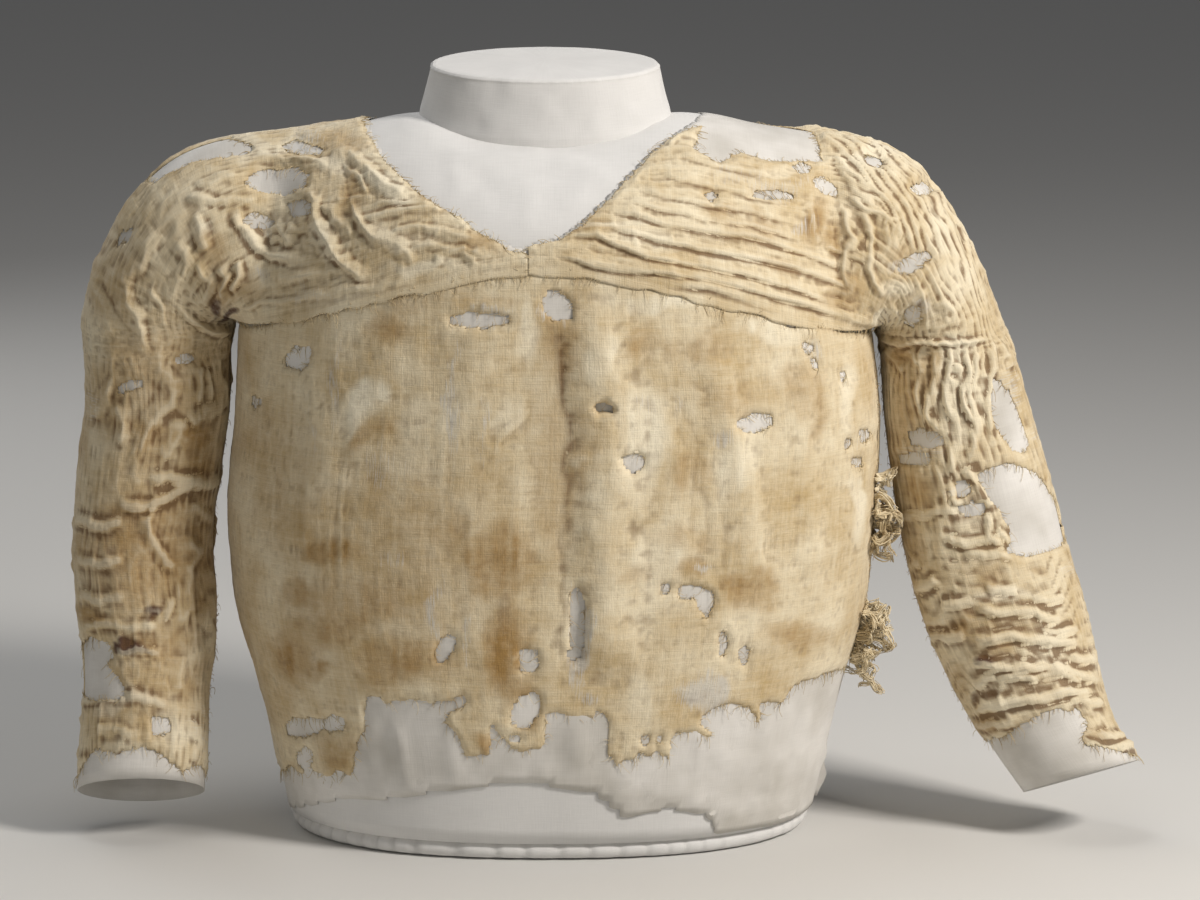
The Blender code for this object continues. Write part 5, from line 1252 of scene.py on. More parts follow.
    def tones(self, spread: Spread, depth: Array) -> dict[str, Array]:
        """Stains, pale parts that are partly painted highlight, and thin grey parts of the linen; the back has the
        front's, shifted and swapped.
        """
        place = np.where((spread.facing > 0.5)[:, None], spread.front, [1160, 20] - spread.behind * [1, -1])
        return {
            "stain": spots(place, self.stains, 0.35), "pale": spots(place, self.pales, 0.35),
            "sheer": spots(place, self.greys, 0.3),
            "dark": 0.35 * spots(place, spots_at((318, 650, 14, 12), (286, 660, 12, 12), (508, 600, 12, 60))),
        }

    def lining_keep(self, spread: Spread) -> Array:
        """How far inside the support cloth each point lies: above its hem and out of the gap in front."""
        turn = spread.along / SKIRT_PITCH
        place = spread.front
        hem = np.array(self.lining_hem)
        front = turn < np.pi
        above = (np.interp(place[:, 0], hem[:, 0], hem[:, 1]) - place[:, 1]) * PIXEL
        share = (turn - np.pi) / np.pi
        behind = spread.around - (0.0205 + 0.012 * np.sin(np.pi * share) + 0.006 * np.sin(9 * share))
        inside = np.where(front, above, behind)
        held = np.flatnonzero(front & (place[:, 1] > 780))
        inside[held] = np.minimum(inside[held], -signed_distance(place[held], pairs(self.lining_hole)) * PIXEL)
        return inside

    def lining_folded(self, spread: Spread) -> Array:
        """How far the support cloth stands out: soft folds near its hem, over a slow swell."""
        low = eased((0.17 - spread.around) / 0.06)
        fold = spread.in_folds(self.lining_folds, (14, 0))
        swell = 0.0012 * (noise(spread.flat / [0.03, 0.05], 51) - 0.3)
        return self.lining_lift + np.maximum(low * (fold + swell), -0.0004)

    def build(self, finishes: Finishes) -> list[Piece]:
        """Make the skirt's linen with its loose threads, and its support cloth."""
        along, around = skirt_grid(JOIN_TURN, front=420, back=100, rows=150, low=0.040)
        linen = Sheet("torn_linen_skirt", torso_surface, -1, along, around, self.keep, self.folded)
        skirt = dressed(linen.build(self.tones), finishes.linen, "aged_linen", "linen_skirt")
        threads = frayed("skirt_loose_threads", linen.edge, share=0.5, longest=0.011, seed=5)
        fray = dressed(threads, finishes.threads, "aged_linen")
        along, around = skirt_grid(-0.072, front=170, back=70, rows=64, low=0.012)
        sheer = Sheet("support_skirt", torso_surface, -1, along, around, self.lining_keep, self.lining_folded,
                      thickness=0.0005, settled=0.0014)
        support = dressed(sheer.build(lambda spread, depth: {
            "shade": 0.5 * np.exp(-depth / 0.0016) + 0.30 * spots(spread.front, spots_at(
                (600, 760, 26, 60), (735, 822, 20, 12, 1.6), (640, 800, 60, 8, 0.8)))}),
            finishes.support, "support_cloth", "lining_skirt")
        return [skirt, fray, support]


# --- yokes and sleeves ---


@dataclass
class YokeSleeve:
    """One pleated linen yoke and sleeve with its torn edges, and the support cloth under it.

    Attributes:
        side: the wearer's side.
        support_nodes: the nodes that the support cloth stands for.
        neck, support_neck: neck edges, rows of place across and degrees over the shoulder from the front.
        cuff: how far short of the pattern's end the linen stops, in ribs, against the share of girth.
        losses: closed loops in the photograph's frame.
        back_losses: rib, share of girth and half sizes in metres of losses that the photograph hides.
        folds: folds in the photograph's frame.
        stains, darks, pales, greys: patches of colour there, the pale ones partly painted highlight on lit folds.
        lift, support_lift: how far linen and support cloth lie above the pattern's surface, in metres.
        cross_rib: the rib from which wrinkles run across the arm and no longer along it.
        yoke_wrinkle, arm_wrinkle: rise of the wrinkles, in metres.
        lap, lap_lift: how far the yoke laps over the skirt, and how much it stands out there, in metres.
    """

    side: Side
    support_nodes: tuple[str, ...]
    neck: Rows
    support_neck: Rows
    cuff: Rows
    losses: Rows
    back_losses: Rows
    folds: tuple[Fold | Pleats, ...]
    stains: tuple[Spot, ...]
    darks: tuple[Spot, ...]
    pales: tuple[Spot, ...]
    greys: tuple[Spot, ...]
    lift: float = 0.0042
    support_lift: float = 0.0016
    cross_rib: float = 18.5
    yoke_wrinkle: float = 0.0004
    arm_wrinkle: float = 0.0006
    lap: float = 0.0036
    lap_lift: float = 0.0010

    def grid(self, yoke: int, arm: int, front: int, back: int) -> tuple[Array, Array]:
        """Pattern grid: its own steps along the yoke and down the arm, and finer steps in front than behind.

        The first and last steps round the yoke run on past the waist seam, so that the yoke laps over the skirt.

        Args:
            yoke, arm: steps along the yoke and the arm.
            front, back: steps around the front and the back.

        Returns:
            Places along and around, rows by columns.
        """
        pattern = SleevePattern(self.side)
        armhole = pattern.pitch * pattern.yoke_ribs
        along = np.concatenate([np.linspace(0.0, armhole, yoke, endpoint=False),
                                np.linspace(armhole, pattern.last(), arm)])
        around = np.concatenate([
            np.linspace(0, 0.55, front, endpoint=False), np.linspace(0.55, 1, back)]) * pattern.girth
        across = 2 * around[None] / pattern.girth - 1
        torn = 0.3 + 1.3 * noise(joined(along / 0.012, self.side.value), 66)[:, None]
        beyond = self.lap * torn * eased((armhole - along[:, None]) / 0.03) * np.sign(across) * np.abs(across) ** 40
        return np.repeat(along[:, None], len(around), axis=1), around[None] + beyond

    def keep(self, spread: Spread) -> Array:
        """How far inside the torn linen each point lies: the nearest of neck edge, cuff edge and losses."""
        pattern = SleevePattern(self.side)
        inside = signed_distance(spread.flat, pattern.neck_loop(self.neck))
        cuff = np.array(self.cuff)
        short = np.interp(spread.around / pattern.girth, cuff[:, 1], cuff[:, 0])
        inside = np.minimum(inside, pattern.last() - short * pattern.pitch - spread.along)
        inside = cut_loops(inside, spread.front, spread.facing > 0.35, self.losses, 110)
        for rib, around, wide, high in self.back_losses:
            inside = np.minimum(inside, past_oval(
                spread.along - rib * pattern.pitch, spread.around - around * pattern.girth, wide, high))
        return inside + 0.0022 * ragged(spread.flat, 0.005, 60 + self.side.value)

    def folded(self, spread: Spread) -> Array:
        """How far the linen stands out: listed folds, then crests of noise drawn out along the yoke and upper arm,
        and drawn out round the forearm."""
        pattern = SleevePattern(self.side)
        rib = spread.along / pattern.pitch
        around = spread.around / pattern.girth
        flat = spread.flat
        seed = 70 + 10 * self.side.value
        fold = spread.in_folds(self.folds, (9, 5)) * eased(np.abs(spread.facing - 0.5) / 0.25)
        bend = 2.4 * noise(flat / [0.060, 0.03], seed) + 0.7 * noise(flat / [0.020, 0.02], seed + 6)
        along_arm = pleated(spread.around / 0.0086 + bend)
        across_arm = pleated(-spread.along / 0.0110 + 1.2 * bend)
        low = eased((rib - self.cross_rib) / 3)
        drawn = (1 - low) * along_arm + low * across_arm
        drawn = 0.25 + (drawn - 0.4) * eased(2.6 * noise(flat / [0.034, 0.026], seed + 8) - 0.75)
        strength = np.where(rib < pattern.yoke_ribs, self.yoke_wrinkle, self.arm_wrinkle)
        crumple = (0.0022 * (ridged(flat / [0.034, 0.020], seed + 4) - 0.4)
                   + 0.0009 * (ridged(flat / 0.009, seed + 5) - 0.4))
        edge = np.minimum(around, 1 - around)
        hold = eased(edge / 0.045)
        relief = fold * hold + (strength * (drawn - 0.25) + crumple) * (0.25 + 0.75 * hold)
        lapped = self.lap_lift * np.exp(-(np.maximum(edge, 0) / 0.010) ** 2)
        lapped = lapped * eased((pattern.yoke_ribs - rib) / 0.8)
        return self.lift + lapped + np.maximum(relief, -0.0017)

    def tones(self, spread: Spread, depth: Array) -> dict[str, Array]:
        """Stains, dark stains, pale parts that are partly painted highlight, and thin grey parts of the linen, on
        the back as on the front.
        """
        place = np.where((spread.facing > 0.5)[:, None], spread.front, spread.behind + [6, 12])
        return {"stain": spots(place, self.stains), "dark": spots(place, self.darks),
                "pale": spots(place, self.pales), "sheer": spots(place, self.greys)}

    def support_keep(self, spread: Spread) -> Array:
        """How far inside the support cloth each point lies."""
        return signed_distance(spread.flat, SleevePattern(self.side).neck_loop(self.support_neck))

    def support_folded(self, spread: Spread) -> Array:
        """How far the support cloth stands out: a slow swell along the arm."""
        girth = SleevePattern(self.side).girth
        edge = np.minimum(spread.around, girth - spread.around) / girth
        return self.support_lift + 0.0010 * (noise(spread.flat / [0.05, 0.02], 90) - 0.5) * eased(edge / 0.06)

    def build(self, finishes: Finishes) -> list[Piece]:
        """Make the linen with its loose threads, and the support cloth."""
        name = self.side.name.lower()
        surface = SleevePattern(self.side).surface()
        along, around = self.grid(yoke=184, arm=226, front=162, back=46)
        linen = Sheet(f"torn_linen_yoke_sleeve_{name}", surface, self.side.value, along, around, self.keep,
                      self.folded)
        sleeve = dressed(linen.build(self.tones), finishes.linen, "aged_linen", f"linen_yoke_sleeve_{name}")
        threads = frayed(f"sleeve_{name}_loose_threads", linen.edge, share=0.45, longest=0.011,
                         seed=15 + self.side.value)
        fray = dressed(threads, finishes.threads, "aged_linen")
        along, around = self.grid(yoke=50, arm=76, front=54, back=30)
        sheer = Sheet(f"support_yoke_sleeve_{name}", surface, self.side.value, along, around, self.support_keep,
                      self.support_folded, thickness=0.0005, settled=0.0014)
        support = dressed(sheer.build(lambda spread, depth: {"shade": 0.45 * np.exp(-depth / 0.0025)}),
                          finishes.support, "support_cloth", *self.support_nodes)
        return [sleeve, fray, support]


def right_yoke_sleeve() -> YokeSleeve:
    """The wearer's right yoke and sleeve, left in the photograph: crumpled, with a near upright arm."""
    return YokeSleeve(
        side=Side.RIGHT,
        support_nodes=("lining_yoke_right", "lining_sleeve_right"),
        neck=(
            (-0.0205, 5), (-0.036, 10), (-0.046, 15), (-0.066, 20), (-0.074, 25), (-0.100, 31), (-0.124, 40),
            (-0.146, 51), (-0.164, 69), (-0.173, 90), (-0.164, 108), (-0.144, 124), (-0.110, 138), (-0.064, 151),
            (-0.0205, 160)),
        support_neck=(
            (-0.0205, 5), (-0.045, 14), (-0.070, 22), (-0.098, 31), (-0.123, 39), (-0.142, 50), (-0.160, 68),
            (-0.168, 90), (-0.160, 108), (-0.140, 123), (-0.105, 137), (-0.060, 150), (-0.0205, 158)),
        cuff=(
            (0.22, 0.0), (0.40, 0.06), (0.16, 0.12), (0.42, 0.18), (0.60, 0.24), (0.48, 0.30), (0.62, 0.37),
            (0.30, 0.44), (0.14, 0.50), (0.22, 0.58), (0.45, 0.66), (0.20, 0.74), (0.50, 0.82), (0.22, 0.90),
            (0.22, 1.0)),
        losses=(
            (243, 184, 252, 176, 268, 172, 284, 170, 300, 168, 309, 176, 307, 186, 296, 192, 284, 197, 268, 193,
             254, 190), (290, 205, 302, 200, 314, 204, 312, 214, 300, 219, 290, 214),
            (146, 181, 166, 164, 186, 152, 208, 144, 228, 141, 248, 146, 252, 153, 236, 158, 210, 160, 190, 166,
             172, 174, 156, 184), (86, 642, 92, 637, 102, 640, 113, 646, 115, 655, 110, 664, 116, 674, 124, 684,
             126, 694, 116, 699, 102, 701, 90, 699, 84, 690, 80, 660),
            (150, 718, 158, 715, 168, 720, 171, 729, 163, 735, 153, 732), (108, 764, 118, 762, 112, 768),
            (128, 762, 140, 753, 152, 750, 160, 757, 172, 771, 186, 776, 168, 778, 146, 780, 132, 776),
            (282, 148, 296, 142, 312, 146, 324, 152, 320, 158, 304, 156, 290, 154),
            (122, 234, 134, 230, 131, 240, 120, 246), (117, 388, 134, 380, 146, 380, 142, 386, 124, 392),
            (175, 358, 186, 353, 194, 358, 188, 364, 178, 363),
            (242, 222, 252, 212, 262, 215, 276, 224, 268, 230, 254, 228)),
        back_losses=(
            (10.5, 0.64, 0.016, 0.010), (21.0, 0.70, 0.018, 0.010), (5.5, 0.72, 0.012, 0.008),
            (16.0, 0.78, 0.010, 0.006)),
        folds=folds_at(
            # Yoke: bright crumpled ridges running down from the neck edge
            (4.6, 7, 11, 330, 153, 347, 160, 364, 170, 384, 183, 398, 195, 413, 202),
            (5.2, 9, 7, 311, 190, 313, 206, 318, 221, 326, 240, 335, 255, 350, 268, 369, 277),
            (4.6, 8, 7, 347, 202, 354, 214, 364, 226, 380, 238, 398, 248, 420, 263),
            (4.8, 9, 6, 228, 212, 238, 222, 245, 231, 254, 244, 265, 253, 282, 260, 301, 265),
            (3.6, 6, 5, 260, 214, 272, 224, 284, 233, 292, 242, 296, 250),
            (5.0, 7, 6, 192, 214, 199, 226, 204, 238, 207, 252),
            (2.6, 4, 5, 362, 221, 386, 216, 410, 212, 447, 207),
            (2.6, 4, 5, 386, 236, 410, 232, 434, 231, 483, 241),
            (2.4, 4, 4, 372, 205, 400, 206, 440, 203, 466, 212),
            (2.6, 4, 5, 398, 252, 430, 246, 466, 249, 500, 256),
            (3.0, 6, 5, 282, 280, 300, 278, 316, 275, 336, 272, 354, 270),
            (2.8, 5, 6, 300, 296, 330, 292, 370, 288, 420, 281), (2.6, 4, 5, 340, 168, 360, 180, 372, 196),
            (3.2, 5, 6, 250, 160, 280, 163, 310, 164, 334, 166), (3.0, 5, 5, 196, 190, 220, 184, 240, 176),
            (3.4, 5, 5, 186, 203, 214, 200, 240, 203, 262, 208),
            (-2.0, 8, 8, 340, 163, 346, 185, 350, 209, 354, 226), (-2.4, 8, 9, 300, 236, 306, 250, 322, 262),
            (2.6, 5, 5, 432, 262, 446, 252, 462, 250, 478, 262),
            (2.2, 3, 4, 240, 306, 270, 303, 310, 297, 360, 291),
            (2.6, 5, 5, 318, 206, 334, 210, 342, 226, 356, 244), (2.8, 5, 4, 268, 242, 286, 240, 300, 228),
            # Armpit: deep dark folds that bend down into the sleeve
            (6.0, 8, 5, 196, 256, 200, 270, 210, 280, 204, 294, 190, 301),
            (5.5, 8, 6, 218, 262, 226, 276, 222, 290, 228, 304),
            (-2.6, 5, 6, 211, 276, 201, 296, 190, 304, 201, 319, 215, 322, 230, 320),
            (4.0, 5, 5, 236, 262, 240, 276, 232, 290), (4.8, 6, 5, 182, 300, 192, 316, 208, 328, 226, 330),
            # Upper arm: long wavy folds, each with a shadow on one side
            (5.2, 6, 12, 162, 229, 146, 256, 127, 279, 127, 300, 137, 316, 146, 343, 150, 356),
            (5.4, 6, 12, 164, 335, 158, 360, 162, 371, 172, 384, 170, 401, 160, 420, 144, 442, 137, 462),
            (4.2, 5, 9, 231, 323, 235, 343, 231, 364, 233, 384, 231, 404, 223, 430),
            (3.8, 4, 8, 222, 323, 224, 347, 216, 360, 214, 376, 218, 404, 206, 424),
            (4.0, 5, 8, 240, 440, 235, 460, 225, 476, 227, 500), (2.6, 3, 4, 196, 366, 194, 398),
            (2.6, 3, 4, 203, 368, 205, 398), (3.0, 5, 8, 213, 402, 198, 414, 190, 422),
            (3.6, 7, 8, 178, 240, 186, 262, 178, 280, 168, 296),
            (3.0, 6, 8, 108, 250, 102, 280, 106, 310, 112, 340), (3.0, 6, 9, 116, 210, 104, 236, 96, 262),
            (2.6, 5, 7, 110, 350, 116, 372, 108, 396, 100, 420), (3.2, 6, 8, 140, 200, 128, 220, 120, 244),
            (3.2, 6, 8, 186, 420, 176, 440, 160, 458), (3.0, 6, 6, 118, 400, 126, 424, 120, 450),
            (2.6, 4, 6, 150, 290, 160, 306, 164, 326),
            # Elbow and forearm
            (4.6, 7, 5, 142, 474, 160, 478, 174, 480, 190, 482, 206, 484, 223, 476),
            (4.2, 7, 5, 118, 500, 132, 505, 147, 506, 164, 500, 181, 487, 200, 476),
            (4.0, 5, 8, 147, 508, 149, 530, 157, 549, 173, 571),
            (4.8, 8, 5, 218, 512, 222, 526, 212, 543, 203, 553),
            (4.4, 5, 9, 183, 534, 190, 554, 186, 573, 188, 610, 179, 634), (3.4, 4, 6, 175, 596, 168, 620),
            (3.6, 5, 7, 182, 658, 178, 695), (3.0, 5, 6, 82, 627, 104, 624, 125, 623, 164, 622),
            (3.6, 5, 7, 205, 560, 212, 590, 206, 620, 214, 650), (3.0, 6, 5, 80, 560, 100, 566, 124, 560),
            (3.0, 6, 5, 78, 596, 100, 600, 130, 594), (3.4, 6, 6, 80, 520, 100, 528, 124, 520),
            (3.2, 5, 6, 190, 504, 200, 516, 210, 522), (3.4, 6, 5, 84, 706, 110, 700, 140, 698, 170, 704),
            (3.0, 5, 6, 100, 730, 124, 726, 140, 736), (3.0, 5, 5, 82, 766, 100, 764, 130, 760),
            (3.0, 5, 6, 186, 720, 196, 740, 190, 760), (2.8, 5, 5, 118, 655, 140, 648, 164, 652)),
        stains=spots_at(
            (110, 420, 34, 30, 0.55), (150, 440, 60, 40, 0.75), (200, 440, 34, 46, 0.8), (120, 500, 40, 24, 0.8),
            (180, 500, 40, 40, 0.7), (200, 560, 26, 50, 0.7), (96, 530, 20, 30, 0.6), (130, 590, 50, 34, 0.45),
            (100, 614, 40, 14, 0.7), (170, 640, 60, 30, 0.65), (190, 680, 26, 30, 0.6), (90, 450, 16, 30, 0.5),
            (160, 400, 40, 30, 0.5), (215, 290, 20, 30, 0.7), (240, 290, 30, 30, 0.4), (100, 380, 24, 26, 0.3),
            (210, 250, 20, 22, 0.5), (400, 140, 40, 24, 0.5), (350, 150, 50, 20, 0.4), (480, 245, 40, 16, 0.5),
            (350, 200, 14, 40, 0.55), (440, 190, 30, 20, 0.5), (230, 480, 10, 60, 0.8), (190, 600, 18, 40, 0.6),
            # Broad, weak spots that darken the arm as a whole, then a long strip down its inner edge
            (150, 380, 90, 90, 0.55), (150, 540, 100, 120, 0.78), (150, 690, 80, 70, 0.40),
            (120, 280, 60, 70, 0.28), (214, 560, 18, 110, 0.75)),
        darks=spots_at(
            (140, 645, 28, 14, 1.0), (146, 610, 12, 12, 0.75), (126, 652, 20, 8, 0.8), (208, 300, 8, 22, 0.8),
            (222, 318, 16, 6, 0.8), (128, 500, 18, 5, 0.35)),
        # Pale patches, partly paler cloth and partly painted highlight where folds face the light
        pales=spots_at(
            (390, 190, 44, 22, 0.7), (330, 240, 30, 30, 0.6), (400, 236, 60, 24, 0.5), (260, 150, 60, 18, 0.6),
            (205, 235, 14, 24, 0.7), (250, 240, 30, 20, 0.6), (140, 700, 50, 16, 0.8), (330, 175, 34, 14, 0.6),
            (180, 730, 26, 36, 0.7), (120, 745, 40, 20, 0.5), (430, 270, 60, 14, 0.6), (140, 545, 50, 20, 0.3)),
        greys=spots_at(
            (330, 240, 20, 14, 0.35), (280, 225, 20, 14, 0.5), (95, 400, 12, 30, 0.4), (310, 300, 60, 12, 0.4),
            (110, 760, 36, 16, 0.6), (180, 780, 20, 20, 0.6), (300, 150, 34, 12, 0.5), (260, 275, 24, 12, 0.5),
            (200, 730, 10, 50, 0.4), (420, 160, 40, 10, 0.2)),
        cross_rib=40.0,
    )


